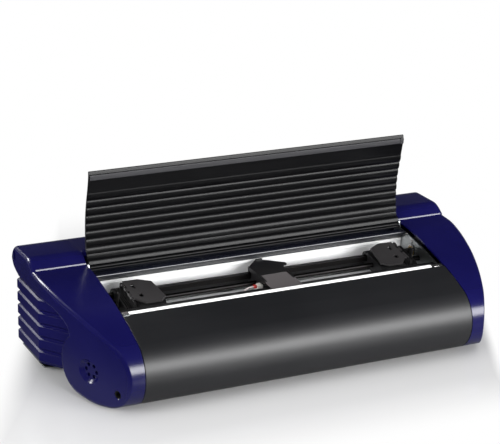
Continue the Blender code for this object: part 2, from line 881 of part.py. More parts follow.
def build_side_plates():
    for side, name in ((-1, "left_side_plate"), (1, "right_side_plate")):
        bm = sided(plate(side_plate_outline(), plate_inner_x, plate_outer_x), side)
        side_plate = add_object(name, bm, "zinc_steel")
        holes = ((drive_y, drive_z, bearing_radius + clearance),
                 (*guide_place(), guide_radius + clearance),
                 (rod_y, rod_low_z, rod_radius + clearance),
                 (rod_y, rod_high_z, rod_radius + clearance))
        for index, (y, z, radius) in enumerate(holes):
            drill = round_bar((plate_inner_x - cut_overrun, y, z),
                              (plate_outer_x + cut_overrun, y, z), radius, small_sides)
            cut(side_plate, add_object(f"{name}_hole_{index}", sided(drill, side)))
        pin = round_bar((lid_half - lid_pin_depth + clearance, hinge_y, hinge_z),
                        (plate_outer_x - sheet_wall / 2, hinge_y, hinge_z),
                        lid_pin_radius, small_sides)
        cut(side_plate, add_object(f"{name}_lid_pin", sided(pin, side)), "UNION")
        if side < 0:
            top = tear_bar_z + tear_bar_rise - tear_bar_wall / 2
            bracket = box((-plate_outer_x + sheet_wall / 2, tear_bar_y, top - bracket_height),
                          (tear_bar_left_x - clearance, tear_bar_y + bracket_depth, top))
            cut(side_plate, add_object("tear_bar_bracket", bracket), "UNION")
            continue
        for index, (y, z) in enumerate(motor_post_places()):
            post = round_bar((plate_outer_x - sheet_wall / 2, y, z),
                             (motor_x - clearance, y, z), standoff_radius, small_sides)
            cut(side_plate, add_object(f"motor_post_{index}", post), "UNION")
    tab_front = pulley_y + pulley_width / 2 + clearance
    tab = box((pulley_x - pulley_radius, tab_front, pulley_z - pulley_radius),
              (plate_inner_x + sheet_wall / 2, tab_front + idler_tab_wall,
               pulley_z + pulley_radius))
    axle = round_bar((pulley_x, pulley_y - pulley_width / 2, pulley_z),
                     (pulley_x, tab_front + idler_tab_wall / 2, pulley_z),
                     motor_shaft_radius, small_sides)
    cut(side_plate, add_object("idler_tab", tab), "UNION")
    cut(side_plate, add_object("idler_axle", axle), "UNION")


def lid_line():
    return [(hinge_y + y, hinge_z + z) for y, z in
            scaled(lid_curve_shares, lid_height, lid_height)]


def along_line(points, share):
    """A point this share of the way along a line, and the line's direction there."""
    lengths = [math.dist(a, b) for a, b in zip(points, points[1:])]
    left = share * sum(lengths)
    for (start, end, length) in zip(points, points[1:], lengths):
        if left <= length or end == points[-1]:
            direction = (Vector(end) - Vector(start)).normalized()
            return Vector(start) + direction * left, direction
        left -= length


def build_lid():
    inner = lid_line()
    front = []
    for share in lid_root_shares:
        front.append(tuple(along_line(inner, share)[0]))
    span = (lid_ribs_to_share - lid_ribs_from_share) / lid_rib_count
    for index in range(lid_rib_count):
        foot = along_line(inner, lid_ribs_from_share + index * span)[0]
        crest, direction = along_line(inner, lid_ribs_from_share + (index + 1) * span)
        out = Vector((-direction.y, direction.x)) * lid_rib_depth
        front.append(tuple(foot))
        front.append(tuple(crest + out))
    front.append(tuple(along_line(inner, lid_ribs_to_share)[0]))
    front.append(tuple(along_line(inner, lid_grip_share)[0]))
    grip, direction = along_line(inner, 1.0)
    front.append(tuple(grip))
    back = [point for point in offset_line(inner, lid_wall)]
    outline = front + back[::-1]
    pivot = (0.0, hinge_y, hinge_z)
    lid = add_object("lid", plate(outline, -lid_half, lid_half), "lid_black", pivot)
    barrel_end = lid_half - clearance
    barrel = round_bar((-barrel_end, hinge_y, hinge_z), (barrel_end, hinge_y, hinge_z),
                       lid_barrel_radius, lid_sides)
    neck = plate([(hinge_y - lid_barrel_radius * lid_neck_front_share, hinge_z), front[1],
                  along_line(back, lid_neck_height_share)[0],
                  (hinge_y + lid_barrel_radius * lid_neck_rear_share, hinge_z)],
                 -lid_half + clearance, lid_half - clearance)
    cut(lid, add_object("lid_neck", neck), "UNION")
    cut(lid, add_object("lid_barrel", barrel), "UNION")
    for side in (-1, 1):
        bore = round_bar((lid_half - lid_pin_depth, hinge_y, hinge_z),
                         (lid_half + cut_overrun, hinge_y, hinge_z),
                         lid_pin_radius + lid_pin_clearance, small_sides)
        cut(lid, add_object(f"lid_bore_{side}", sided(bore, side)))

    rail = [(rail_nose_y, rail_nose_z), (rail_nose_y + cover_wall, rail_nose_z + plate_wall / 2),
            (rail_back_y, rail_nose_z - plate_wall), (rail_back_y, rail_low_z + plate_wall),
            (rail_low_y, rail_low_z)]
    add_object("lid_hinge_rail", plate(rail, -plate_inner_x + clearance,
                                       plate_inner_x - clearance), "lid_black")


def build_paper_path():
    chute_line = [(chute_y, chute_top_z), (chute_y + plate_wall, paper_rail_z),
                  (chute_y + chute_slot_low / 3, chute_slot_high + chute_slot_low / 2),
                  (chute_y + chute_slot_low, chute_slot_high + plate_wall),
                  (rear_y - rib_groove_depth - cover_wall - clearance,
                   chute_slot_high - clearance)]
    reach = plate_inner_x - clearance
    outline = sweep_outline(chute_line, -plate_wall)
    add_object("paper_chute", plate(outline, -reach, reach), "paper_white")

    line = [(paper_floor_rear_y, paper_floor_z),
            (front_ledge_rear_y, paper_floor_z),
            (front_ledge_rear_y, front_ledge_rear_z),
            (front_ledge_y, front_ledge_z),
            (front_ledge_y, front_ledge_z - cover_wall * 3)]
    floor = add_object("front_paper_plate", plate(sweep_outline(line, -plate_wall),
                                                  -reach, reach), "bare_aluminium")
    hole_x = lead_hole_x + lead_radius
    hole = round_bar((hole_x, lead_hole_y, paper_floor_z - cut_overrun),
                     (hole_x, lead_hole_y, paper_floor_z + cut_overrun),
                     lead_hole_radius, small_sides)
    cut(floor, add_object("lead_hole", hole))

    low = (-reach, paper_rail_y - paper_rail_depth / 2, paper_rail_z - paper_rail_height / 2)
    high = (reach, paper_rail_y + paper_rail_depth / 2, paper_rail_z + paper_rail_height / 2)
    add_object("paper_rail", box(low, high), "black_plastic")

    rear = tear_bar_y + tear_bar_depth
    face = [(tear_bar_y, tear_bar_z - tear_bar_wall), (tear_bar_y, tear_bar_z),
            (rear, tear_bar_z + tear_bar_rise), (rear, tear_bar_z - tear_bar_leg),
            (rear - tear_bar_wall, tear_bar_z - tear_bar_leg),
            (rear - tear_bar_wall, tear_bar_z + tear_bar_rise - tear_bar_wall * 1.5)]
    add_object("tear_bar", plate(face, tear_bar_left_x, tear_bar_right_x), "bare_aluminium")

    top = tear_bar_z + tear_bar_rise - tear_bar_wall / 2
    latch_left = tear_bar_right_x + clearance
    latch = plate([(tear_bar_y, top - bracket_height), (tear_bar_y, top - bracket_height / 3),
                   (tear_bar_y + bracket_depth / 3, top),
                   (tear_bar_y + bracket_depth, top),
                   (tear_bar_y + bracket_depth, top - bracket_height)],
                  latch_left, plate_inner_x - clearance)
    add_object("lid_catch", latch, "black_plastic")


def slope_point(back, lift=0.0):
    """(Y, Z) at a distance in front of the drive shaft, along the tractors' slope."""
    length = math.hypot(1.0, tractor_slope)
    y = drive_y - back / length - lift * tractor_slope / length
    z = drive_z - back * tractor_slope / length + lift / length
    return y, z


def guide_place():
    return slope_point(guide_back)


def stadium(radius, steps=stadium_steps):
    """A belt-shaped outline round the drive sprocket and the front idler."""
    lean = math.degrees(math.atan(tractor_slope))
    rear = arc((drive_y, drive_z), radius, lean - 90, lean + 90, steps)
    front = arc(slope_point(idler_back), radius, lean + 90, lean + 270, steps)
    return rear + front


def slope_turn():
    return Matrix.Rotation(math.atan(tractor_slope), 4, "X")


def build_tractor(side):
    name = "left_tractor" if side < 0 else "right_tractor"
    belt_x = tractor_x + belt_centre
    belt_low = belt_x - belt_width / 2
    belt_high = belt_x + belt_width / 2
    outer_low = belt_high + clearance
    outer_high = tractor_x + door_width / 2 + frame_outer
    inner_low = tractor_x - door_width / 2 + clearance
    inner_high = belt_low - clearance
    guide_y, guide_z = guide_place()
    idler_y, idler_z = slope_point(idler_back)

    frame = plate(stadium(frame_radius), outer_low, outer_high)
    inner = plate(stadium(frame_radius), inner_low, inner_high)
    web_rear = belt_radius + web_gap
    web_front = idler_back - web_rear
    web_half = frame_radius * web_share
    web = plate([slope_point(web_rear, -web_half), slope_point(web_front, -web_half),
                 slope_point(web_front, web_half), slope_point(web_rear, web_half)],
                inner_high - cover_wall, outer_low + cover_wall)
    body = add_object(f"{name}_frame", sided(frame, side), "black_plastic")
    cut(body, add_object(f"{name}_web", sided(web, side)), "UNION")
    cut(body, add_object(f"{name}_inner_cheek", sided(inner, side)), "UNION")
    reach_low = inner_low - cut_overrun
    reach_high = outer_high + cut_overrun
    drive_hole = round_bar((reach_low, drive_y, drive_z), (reach_high, drive_y, drive_z),
                           bearing_bore, lid_sides)
    guide_hole = round_bar((reach_low, guide_y, guide_z), (reach_high, guide_y, guide_z),
                           guide_radius + clearance, small_sides)
    cut(body, add_object(f"{name}_drive_hole", sided(drive_hole, side)))
    cut(body, add_object(f"{name}_guide_hole", sided(guide_hole, side)))

    belt = plate(stadium(belt_radius), belt_low, belt_high)
    belt_object = add_object(f"{name}_pin_belt", sided(belt, side), "black_plastic")
    hollow = plate(stadium(belt_radius - belt_wall), belt_low - cut_overrun,
                   belt_high + cut_overrun)
    cut(belt_object, add_object(f"{name}_belt_hollow", sided(hollow, side)))
    pins = int(idler_back / pin_pitch) + 1
    for index in range(pins):
        back = (index + 0.5) * idler_back / pins
        foot = slope_point(back, belt_radius - belt_wall / 2)
        tip = slope_point(back, belt_radius + pin_height)
        pin = round_bar((belt_x, *foot), (belt_x, *tip), pin_radius, pin_sides,
                        pin_radius * pin_tip_share)
        cut(belt_object, add_object(f"{name}_pin_{index}", sided(pin, side)), "UNION")

    wheel_radius = belt_radius - belt_wall - clearance
    sprocket = round_bar((belt_low, drive_y, drive_z), (belt_high, drive_y, drive_z),
                         wheel_radius, lid_sides)
    sprocket_object = add_object(f"{name}_sprocket", sided(sprocket, side),
                                 "bare_aluminium", (side * belt_x, drive_y, drive_z))
    square = drive_width / 2 + clearance
    bore = box((belt_low - cut_overrun, drive_y - square, drive_z - square),
               (belt_high + cut_overrun, drive_y + square, drive_z + square))
    cut(sprocket_object, add_object(f"{name}_sprocket_bore", sided(bore, side)))
    idler = round_bar((inner_high - cover_wall, idler_y, idler_z),
                      (outer_low + cover_wall, idler_y, idler_z),
                      wheel_radius, lid_sides)
    cut(body, add_object(f"{name}_idler", sided(idler, side)), "UNION")

    door_low = tractor_x - door_width / 2
    door_high = tractor_x + door_width / 2
    low_y = -door_front
    high_y = door_rear
    corners = [(door_low, low_y + door_corner), (door_low + door_corner, low_y),
               (door_high, low_y), (door_high, high_y),
               (door_low + door_corner / 2, high_y), (door_low, high_y - door_corner)]
    panel = plate(corners, door_lift, door_lift + door_wall, "Z")
    hinge_x = door_high + door_hinge_out
    hinge_lift = door_lift + door_wall / 2
    knuckle = round_bar((hinge_x, -door_knuckle_front, hinge_lift),
                        (hinge_x, door_knuckle_rear, hinge_lift),
                        door_hinge_radius, small_sides)
    leaf = box((door_high - cover_wall, -door_knuckle_front + clearance, door_lift + clearance),
               (hinge_x, door_knuckle_rear - clearance, door_lift + door_wall - clearance))
    bore = round_bar((hinge_x, -door_knuckle_front - cut_overrun, hinge_lift),
                     (hinge_x, door_knuckle_rear + cut_overrun, hinge_lift),
                     door_hinge_pin + clearance, small_sides)
    to_place = Matrix.Translation((0, drive_y, drive_z)) @ slope_turn()
    for piece in (panel, knuckle, leaf, bore):
        bmesh.ops.transform(piece, matrix=to_place, verts=piece.verts)
    middle = slope_point((door_front - door_rear) / 2, hinge_lift)
    pivot = (side * hinge_x, *middle)
    door = add_object(f"{name}_door", sided(panel, side), "door_grey", pivot)
    cut(door, add_object(f"{name}_door_leaf", sided(leaf, side)), "UNION")
    cut(door, add_object(f"{name}_door_knuckle", sided(knuckle, side)), "UNION")
    cut(door, add_object(f"{name}_door_bore", sided(bore, side)))
    for index, slot_share in enumerate(slot_shares):
        centre_y = -idler_back * slot_share
        slot = box((belt_x - slot_width / 2, centre_y - slot_length / 2, 0),
                   (belt_x + slot_width / 2, centre_y + slot_length / 2,
                    door_lift + door_wall * 2))
        bmesh.ops.transform(slot, matrix=to_place, verts=slot.verts)
        cut(door, add_object(f"{name}_door_slot_{index}", sided(slot, side)))

    lug_top = hinge_lift + door_lug_half
    lug_rows = ((-door_knuckle_front - clearance - door_lug, -door_knuckle_front - clearance),
                (door_knuckle_rear + clearance, door_knuckle_rear + clearance + door_lug))
    for index, (lug_front, lug_rear) in enumerate(lug_rows):
        lug = box((hinge_x - door_lug_half, lug_front, bearing_bore + clearance),
                  (hinge_x + door_lug_half, lug_rear, lug_top))
        bmesh.ops.transform(lug, matrix=to_place, verts=lug.verts)
        cut(body, add_object(f"{name}_hinge_lug_{index}", sided(lug, side)), "UNION")
    pin = round_bar((hinge_x, lug_rows[0][1] - door_lug / 2, hinge_lift),
                    (hinge_x, lug_rows[1][0] + door_lug / 2, hinge_lift),
                    door_hinge_pin, pin_sides)
    bmesh.ops.transform(pin, matrix=to_place, verts=pin.verts)
    cut(body, add_object(f"{name}_hinge_pin", sided(pin, side)), "UNION")

    lever_low = outer_high + clearance
    lever_high = lever_low + lever_wall
    arm = [slope_point(guide_back - lever_width / 2, 0), slope_point(guide_back, lever_length),
           slope_point(guide_back + lever_width, lever_length),
           slope_point(guide_back + lever_width, 0)]
    hub = round_bar((lever_low, guide_y, guide_z), (lever_high, guide_y, guide_z),
                    lever_hub, lid_sides)
    lever = add_object(f"{name}_lock_lever", sided(hub, side), "black_plastic",
                       (side * lever_low, guide_y, guide_z))
    cut(lever, add_object(f"{name}_lever_arm",
                          sided(plate(arm, lever_low + clearance, lever_high - clearance),
                                side)), "UNION")
    bore = round_bar((lever_low - cut_overrun, guide_y, guide_z),
                     (lever_high + cut_overrun, guide_y, guide_z),
                     guide_radius + clearance, small_sides)
    cut(lever, add_object(f"{name}_lever_bore", sided(bore, side)))


def build_shafts():
    drive = box((drive_left_x, drive_y - drive_width / 2, drive_z - drive_width / 2),
                (drive_right_x, drive_y + drive_width / 2, drive_z + drive_width / 2))
    add_object("tractor_drive_shaft", drive, "shaft_steel", (0, drive_y, drive_z))
    guide_y, guide_z = guide_place()
    reach = plate_outer_x
    add_object("tractor_guide_shaft",
               round_bar((-reach, guide_y, guide_z), (reach, guide_y, guide_z),
                         guide_radius, lid_sides), "shaft_steel")
    inner = plate_inner_x - clearance - bearing_flange
    for side, name in ((-1, "left_shaft_bearing"), (1, "right_shaft_bearing")):
        flange = round_bar((inner, drive_y, drive_z),
                           (inner + bearing_flange, drive_y, drive_z),
                           bearing_flange_radius)
        barrel = round_bar((inner + bearing_flange / 2, drive_y, drive_z),
                           (plate_outer_x + clearance, drive_y, drive_z), bearing_radius)
        bore = round_bar((inner - cut_overrun, drive_y, drive_z),
                         (seam_x + cut_overrun, drive_y, drive_z), bearing_bore, lid_sides)
        bearing = add_object(name, sided(flange, side), "bare_aluminium")
        cut(bearing, add_object(f"{name}_barrel", sided(barrel, side)), "UNION")
        cut(bearing, add_object(f"{name}_bore", sided(bore, side)))


def build_middle_support():
    low_x = support_x - support_half
    high_x = support_x + support_half
    guide_y, guide_z = guide_place()
    saddle_top = top_height(0.0) - support_lift
    line = []
    for share_y, share_z in saddle_shares:
        line.append((share_y * body_depth, saddle_top - support_fall * (1 - share_z)))
    line = [point for point in line if point[0] > tongue_rear_y]
    outline = sweep_outline(line, -support_wall)
    support = add_object("middle_support", plate(outline, low_x, high_x), "black_plastic")
    hub_half = support_hub_half
    hub_rear = drive_y + support_hub_rear
    hub = plate([(guide_y - hub_half, guide_z - hub_half), (hub_rear, drive_z - hub_half),
                 (hub_rear, saddle_top - support_wall / 2),
                 (line[-1][0] + support_wall, line[-1][1] - support_wall / 2),
                 (guide_y - hub_half, guide_z + support_wall)],
                low_x + hub_half / 2, high_x - hub_half / 2)
    cut(support, add_object("support_hub", hub), "UNION")
    drive_hole = round_bar((low_x - cut_overrun, drive_y, drive_z),
                           (high_x + cut_overrun, drive_y, drive_z), bearing_bore, lid_sides)
    guide_hole = round_bar((low_x - cut_overrun, guide_y, guide_z),
                           (high_x + cut_overrun, guide_y, guide_z),
                           guide_radius + clearance, small_sides)
    cut(support, add_object("support_drive_hole", drive_hole))
    cut(support, add_object("support_guide_hole", guide_hole))
    rear_z = line[-1][1] - support_wall
    tongue = [(tongue_rear_y, rear_z), (tongue_front_y, tongue_front_z)]
    add_object("middle_support_tongue",
               plate(sweep_outline(tongue, -support_wall), low_x, high_x), "door_grey")


def gear_outline(centre, teeth):
    """A plain toothed outline: each tooth has a root, two flanks and a flat tip."""
    pitch_radius = teeth * feed_module / 2
    tip = pitch_radius + feed_module * tooth_tip_share
    root = pitch_radius - feed_module * tooth_root_share
    points = []
    for tooth in range(teeth):
        for share, radius in zip(tooth_shares, (root, tip, tip, root)):
            angle = (tooth + share) * 2 * math.pi / teeth
            points.append((centre[0] + radius * math.cos(angle),
                           centre[1] + radius * math.sin(angle)))
    return points


def build_feed_drive():
    pinion_z = pinion_height()
    half = gear_width / 2
    gear = add_object("drive_gear",
                      plate(gear_outline((drive_y, drive_z), drive_teeth),
                            gear_x - half, gear_x + half),
                      "door_grey", (gear_x, drive_y, drive_z))
    square = drive_width / 2 + clearance
    bore = box((gear_x - gear_width, drive_y - square, drive_z - square),
               (gear_x + gear_width, drive_y + square, drive_z + square))
    cut(gear, add_object("drive_gear_bore", bore))
    pinion = add_object("feed_pinion",
                        plate(gear_outline((drive_y, pinion_z), pinion_teeth),
                              gear_x - half, gear_x + half),
                        "brass", (gear_x, drive_y, pinion_z))
    shaft = round_bar((gear_x, drive_y, pinion_z), (motor_x - clearance, drive_y, pinion_z),
                      motor_shaft_radius, small_sides)
    cut(pinion, add_object("feed_motor_shaft", shaft), "UNION")
    half_motor = motor_size / 2
    add_object("feed_motor",
               box((motor_x, drive_y - half_motor, pinion_z - half_motor),
                           (motor_x + motor_depth, drive_y + half_motor,
                            pinion_z + half_motor)), "black_plastic")


def build_emboss_unit():
    for name, z in (("lower_carriage_rod", rod_low_z), ("upper_carriage_rod", rod_high_z)):
        rod = round_bar((-plate_outer_x, rod_y, z), (plate_outer_x, rod_y, z),
                        rod_radius, lid_sides)
        add_object(name, rod, "shaft_steel")
    half_depth = carriage_depth / 2
    carriage = add_object(
        "carriage",
        box((carriage_rest_x - carriage_half, rod_y - half_depth, carriage_low_z),
            (carriage_rest_x + carriage_half, rod_y + half_depth, carriage_high_z)),
        "black_plastic", (carriage_rest_x, rod_y, rod_low_z))
    for index, z in enumerate((rod_low_z, rod_high_z)):
        drill = round_bar((carriage_rest_x - carriage_half - cut_overrun, rod_y, z),
                          (carriage_rest_x + carriage_half + cut_overrun, rod_y, z),
                          rod_radius + clearance, small_sides)
        cut(carriage, add_object(f"carriage_bore_{index}", drill))
    inner_radius = pulley_radius + clearance
    clamp_z = pulley_z - inner_radius + clearance
    clamp = box((carriage_rest_x - clamp_half, pulley_y - pulley_width / 3, clamp_z),
                (carriage_rest_x + clamp_half, rod_y, clamp_z + clamp_height))
    cut(carriage, add_object("belt_clamp", clamp), "UNION")
    face_y = rod_y + half_depth + clearance
    head = add_object(
        "embossing_head",
        box((carriage_rest_x - head_half, face_y, head_low_z),
            (carriage_rest_x + head_half, face_y + head_depth, head_high_z)),
        "zinc_steel", (carriage_rest_x, rod_y, rod_low_z))
    pitch = (head_high_z - head_low_z) / (emboss_pin_rows + 1)
    for row in range(emboss_pin_rows):
        z = head_low_z + pitch * (row + 1)
        for column in (-1, 1):
            x = carriage_rest_x + column * head_half / 3
            pin = round_bar((x, face_y + head_depth / 2, z),
                            (x, face_y + head_depth + emboss_pin_length, z),
                            emboss_pin_radius, pin_sides)
            cut(head, add_object(f"emboss_pin_{row}_{column}", pin), "UNION")
    reach = plate_inner_x - clearance
    add_object("anvil_bar",
               box((-reach, anvil_y, anvil_low_z), (reach, anvil_y + anvil_depth, anvil_high_z)),
               "zinc_steel")

    belt_low = pulley_y - pulley_width / 2
    belt_high = pulley_y + pulley_width / 2

    def loop(radius):
        right = arc((pulley_x, pulley_z), radius, -90, 90, small_sides)
        left = arc((-pulley_x, pulley_z), radius, 90, 270, small_sides)
        return right + left

    belt = add_object("carriage_belt",
                      plate(loop(inner_radius + emboss_belt_wall), belt_low, belt_high, "Y"),
                      "rubber")
    cut(belt, add_object("belt_hollow", plate(loop(inner_radius), belt_low - cut_overrun,
                                              belt_high + cut_overrun, "Y")))
    for x, name in ((-pulley_x, "carriage_drive_pulley"), (pulley_x, "carriage_idler_pulley")):
        pulley = add_object(name, round_bar((x, belt_low, pulley_z), (x, belt_high, pulley_z),
                                            pulley_radius, lid_sides),
                            "bare_aluminium", (x, pulley_y, pulley_z))
        bore = round_bar((x, belt_low - cut_overrun, pulley_z),
                         (x, belt_high + cut_overrun, pulley_z),
                         motor_shaft_radius + clearance, small_sides)
        cut(pulley, add_object(f"{name}_bore", bore))
    half = carriage_motor_size / 2
    motor_front = carriage_motor_y - carriage_motor_depth / 2
    motor = add_object(
        "carriage_motor",
        box((-pulley_x - half, motor_front, pulley_z - half),
            (-pulley_x + half, motor_front + carriage_motor_depth, pulley_z + half)),
        "black_plastic")
    shaft = round_bar((-pulley_x, belt_low, pulley_z),
                      (-pulley_x, motor_front + cover_wall, pulley_z),
                      motor_shaft_radius, small_sides)
    cut(motor, add_object("carriage_motor_shaft", shaft), "UNION")


def build_electronics():
    board = add_object("main_board",
                       box((-board_half, board_front_y, board_z),
                           (board_half, board_rear_y, board_z + board_wall)), "board_green")
    for index, share in enumerate((-0.7, -0.2, 0.25, 0.7)):
        x = share * board_half
        chip = box((x - board_chip / 2, -board_chip, board_z + board_wall / 2),
                   (x + board_chip / 2, 0, board_z + board_wall + board_chip_height))
        cut(board, add_object(f"board_chip_{index}", chip), "UNION")
    add_object("power_supply",
               box((supply_x, supply_y, tray_top + clearance),
                   (supply_x + supply_width, supply_y + supply_depth,
                    tray_top + clearance + supply_height)), "zinc_steel")

    plate_low = rear_y - rib_groove_depth - cover_wall
    plate_high = plate_low + cover_wall
    io_plate = add_object("connector_plate",
                          box((io_left_x + clearance, plate_low, io_low_z + clearance),
                              (io_right_x - clearance, plate_high, io_high_z - clearance)),
                          "zinc_steel")
    middle_z = (io_low_z + io_high_z) / 2
    wall = plate_wall
    sockets = (("power_inlet", inlet_x, inlet_width, inlet_height),
               ("usb_socket", usb_x, usb_width, usb_height),
               ("data_port", port_x, port_width, port_height))
    for name, x, width, height in sockets:
        low = (x - width / 2, plate_low - socket_depth, middle_z - height / 2)
        high = (x + width / 2, plate_high + plate_wall, middle_z + height / 2)
        mouth = box((low[0] + wall, low[1] + wall, low[2] + wall),
                    (high[0] - wall, high[1] + cut_overrun, high[2] - wall))
        if name == "power_inlet":
            window = box((low[0] - clearance, plate_low - cut_overrun, low[2] - clearance),
                         (high[0] + clearance, plate_high + cut_overrun,
                          high[2] + clearance))
            cut(io_plate, add_object("inlet_window", window))
            carrier = add_object(name, box(low, high), "black_plastic")
        else:
            carrier = io_plate
            cut(io_plate, add_object(name, box(low, high)), "UNION")
        cut(carrier, add_object(f"{name}_mouth", mouth))
    switch_half = switch_width / 2
    half_height = switch_height / 2
    window = box((switch_x - switch_half - clearance, plate_low - cut_overrun,
                  middle_z - half_height - clearance),
                 (switch_x + switch_half + clearance, plate_high + cut_overrun,
                  middle_z + half_height + clearance))
    cut(io_plate, add_object("switch_window", window))
    tilt = math.tan(math.radians(switch_tilt_degrees)) * half_height
    pivot_y = plate_low
    rocker = plate([(pivot_y - cover_wall, middle_z), (pivot_y, middle_z - half_height * 0.85),
                    (plate_high + plate_wall, middle_z - half_height * 0.92),
                    (plate_high + plate_wall / 2, middle_z),
                    (plate_high + plate_wall + tilt / 2, middle_z + half_height * 0.9),
                    (pivot_y, middle_z + half_height * 0.85)],
                   switch_x - switch_half, switch_x + switch_half)
    add_object("power_switch", rocker, "black_plastic", (switch_x, pivot_y, middle_z))


def build_side_fittings():
    ear_out = side_normal(ear_y)
    ear_surface = Vector((side_x(ear_y), ear_y, ear_z))
    ear = round_bar(ear_surface - ear_out * ear_length, ear_surface - ear_out * plate_wall,
                    ear_radius, lid_sides)
    ear_socket = add_object("ear_socket", sided(ear, -1), "black_plastic")
    ear_bore_tool = round_bar(ear_surface - ear_out * (ear_length - plate_wall), ear_surface,
                              ear_bore, small_sides)
    cut(ear_socket, add_object("ear_socket_bore", sided(ear_bore_tool, -1)))

    feet = []
    for index in range(key_count):
        y = key_first_y + index * key_pitch
        out = side_normal(y)
        tip = Vector((side_x(y), y, key_z)) + out * key_proud
        foot = tip - out * key_length
        feet.append(foot)
        key = round_bar(foot, tip, key_radius, round_sides, key_radius * key_top_share)
        add_object(f"key_{index + 1}", key, "door_grey", tuple(foot))
    middle_y = key_first_y + key_pitch * (key_count - 1) / 2
    drop = key_travel + clearance + board_wall / 2
    middle = (feet[0] + feet[-1]) / 2 - side_normal(middle_y) * drop
    run = (feet[-1] - feet[0]).normalized()
    half_run = (feet[-1] - feet[0]).length / 2 + key_radius
    up = Vector((0, 0, 1))
    board_bm = box((-half_run, -board_wall / 2, -key_radius * 2),
                   (half_run, board_wall / 2, key_radius * 2))
    turn = Matrix((run, up.cross(run), up)).transposed().to_4x4()
    bmesh.ops.transform(board_bm, matrix=Matrix.Translation(middle) @ turn,
                        verts=board_bm.verts)
    board = add_object("key_board", board_bm, "board_green")
    for side in (-1, 1):
        for row in (-1, 1):
            y = middle_y + side * key_pitch
            out = side_normal(y)
            wall_point = Vector((side_x(y), y, key_z + row * key_radius * key_post_share))
            top = wall_point - out * (cover_wall + clearance * 2)
            base = wall_point + out * (key_proud - key_length - drop)
            post = round_bar(base, top, key_post_radius, 8)
            cut(board, add_object(f"key_post_{side}_{row}", post), "UNION")


def build_sensor():
    plate_top = paper_floor_z + clearance
    add_object("paper_sensor",
               box((sensor_x - sensor_length / 2, sensor_y - sensor_width / 2, plate_top),
                   (sensor_x + sensor_length / 2, sensor_y + sensor_width / 2,
                    sensor_top_z)), "paper_white")
    floor_level = plate_top + lead_radius
    start_x = sensor_x - sensor_length / 2 - clearance
    board_level = board_z + board_wall + clearance
    route = [(start_x, sensor_y, sensor_lead_z),
             (start_x - lead_start_run, sensor_y, sensor_lead_z),
             (lead_floor_x + lead_start_run, lead_floor_y, floor_level),
             (lead_floor_x, lead_floor_y, floor_level)]
    points = bezier(route, lead_steps * 2)
    bend_start = lead_hole_x + lead_bend
    route = [(lead_floor_x, lead_floor_y, floor_level),
             ((lead_floor_x + bend_start) / 2, lead_floor_y, floor_level),
             ((lead_floor_x + bend_start) / 2, lead_hole_y, floor_level),
             (bend_start, lead_hole_y, floor_level)]
    points += bezier(route, lead_steps * 2)[1:]
    for step in range(1, lead_steps + 1):
        angle = math.pi / 2 * step / lead_steps
        points.append((bend_start - lead_bend * math.sin(angle), lead_hole_y,
                       floor_level - lead_bend * (1 - math.cos(angle))))
    points.append((lead_hole_x, lead_hole_y, board_level))
    add_tube("sensor_lead", points, lead_radius, "sensor_red")


def finish_shading():
    for obj in parts.objects:
        if obj.type != "MESH":
            continue
        obj.data.shade_smooth()
        obj.data.set_sharp_from_angle(angle=math.radians(32))


build_base()
build_side_plates()
build_end_covers()
build_front_cover()
build_rear_covers()
build_lid()
build_paper_path()
build_shafts()
for tractor_side in (-1, 1):
    build_tractor(tractor_side)
build_middle_support()
build_feed_drive()
build_emboss_unit()
build_electronics()
build_side_fittings()
build_sensor()
finish_shading()
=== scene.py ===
# %% [markdown]
# A desktop braille embosser with its paper lid open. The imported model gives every
# solid its place. This lesson builds the finer shapes that an eye looks for, gives each
# surface its finish, and lights the machine as a small studio would.

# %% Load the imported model
import json
import math

import bmesh
import bpy
from mathutils import Matrix, Vector


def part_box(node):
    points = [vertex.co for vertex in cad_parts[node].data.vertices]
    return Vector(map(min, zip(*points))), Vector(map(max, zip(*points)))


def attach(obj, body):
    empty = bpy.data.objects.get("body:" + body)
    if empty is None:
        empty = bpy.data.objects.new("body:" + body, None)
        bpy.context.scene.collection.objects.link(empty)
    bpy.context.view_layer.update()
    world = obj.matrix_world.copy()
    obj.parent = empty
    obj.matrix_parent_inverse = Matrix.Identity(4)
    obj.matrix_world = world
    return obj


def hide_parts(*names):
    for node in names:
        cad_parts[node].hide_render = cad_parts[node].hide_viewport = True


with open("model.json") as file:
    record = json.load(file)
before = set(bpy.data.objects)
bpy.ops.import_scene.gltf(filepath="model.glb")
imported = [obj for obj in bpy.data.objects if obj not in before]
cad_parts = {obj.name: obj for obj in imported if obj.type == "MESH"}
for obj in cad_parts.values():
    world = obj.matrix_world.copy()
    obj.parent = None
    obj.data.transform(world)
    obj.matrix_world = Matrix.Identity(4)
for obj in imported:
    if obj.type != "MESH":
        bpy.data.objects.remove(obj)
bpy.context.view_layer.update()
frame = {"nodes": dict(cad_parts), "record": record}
body_of = {node: body for body, nodes in frame["record"]["behaviour"]["bodies"].items()
           for node in nodes}

# %% [markdown]
# A photograph is matched by its lens and its place before anything else. The eye stood
# to the machine's front left and about nineteen degrees above it, with a long lens. The
# camera's three axes are worked out from those angles and a very small roll.

# %% Camera at the photograph's angle
def in_scene(name, data):
    """A new object of this data, linked to the scene."""
    obj = bpy.data.objects.new(name, data)
    bpy.context.scene.collection.objects.link(obj)
    return obj


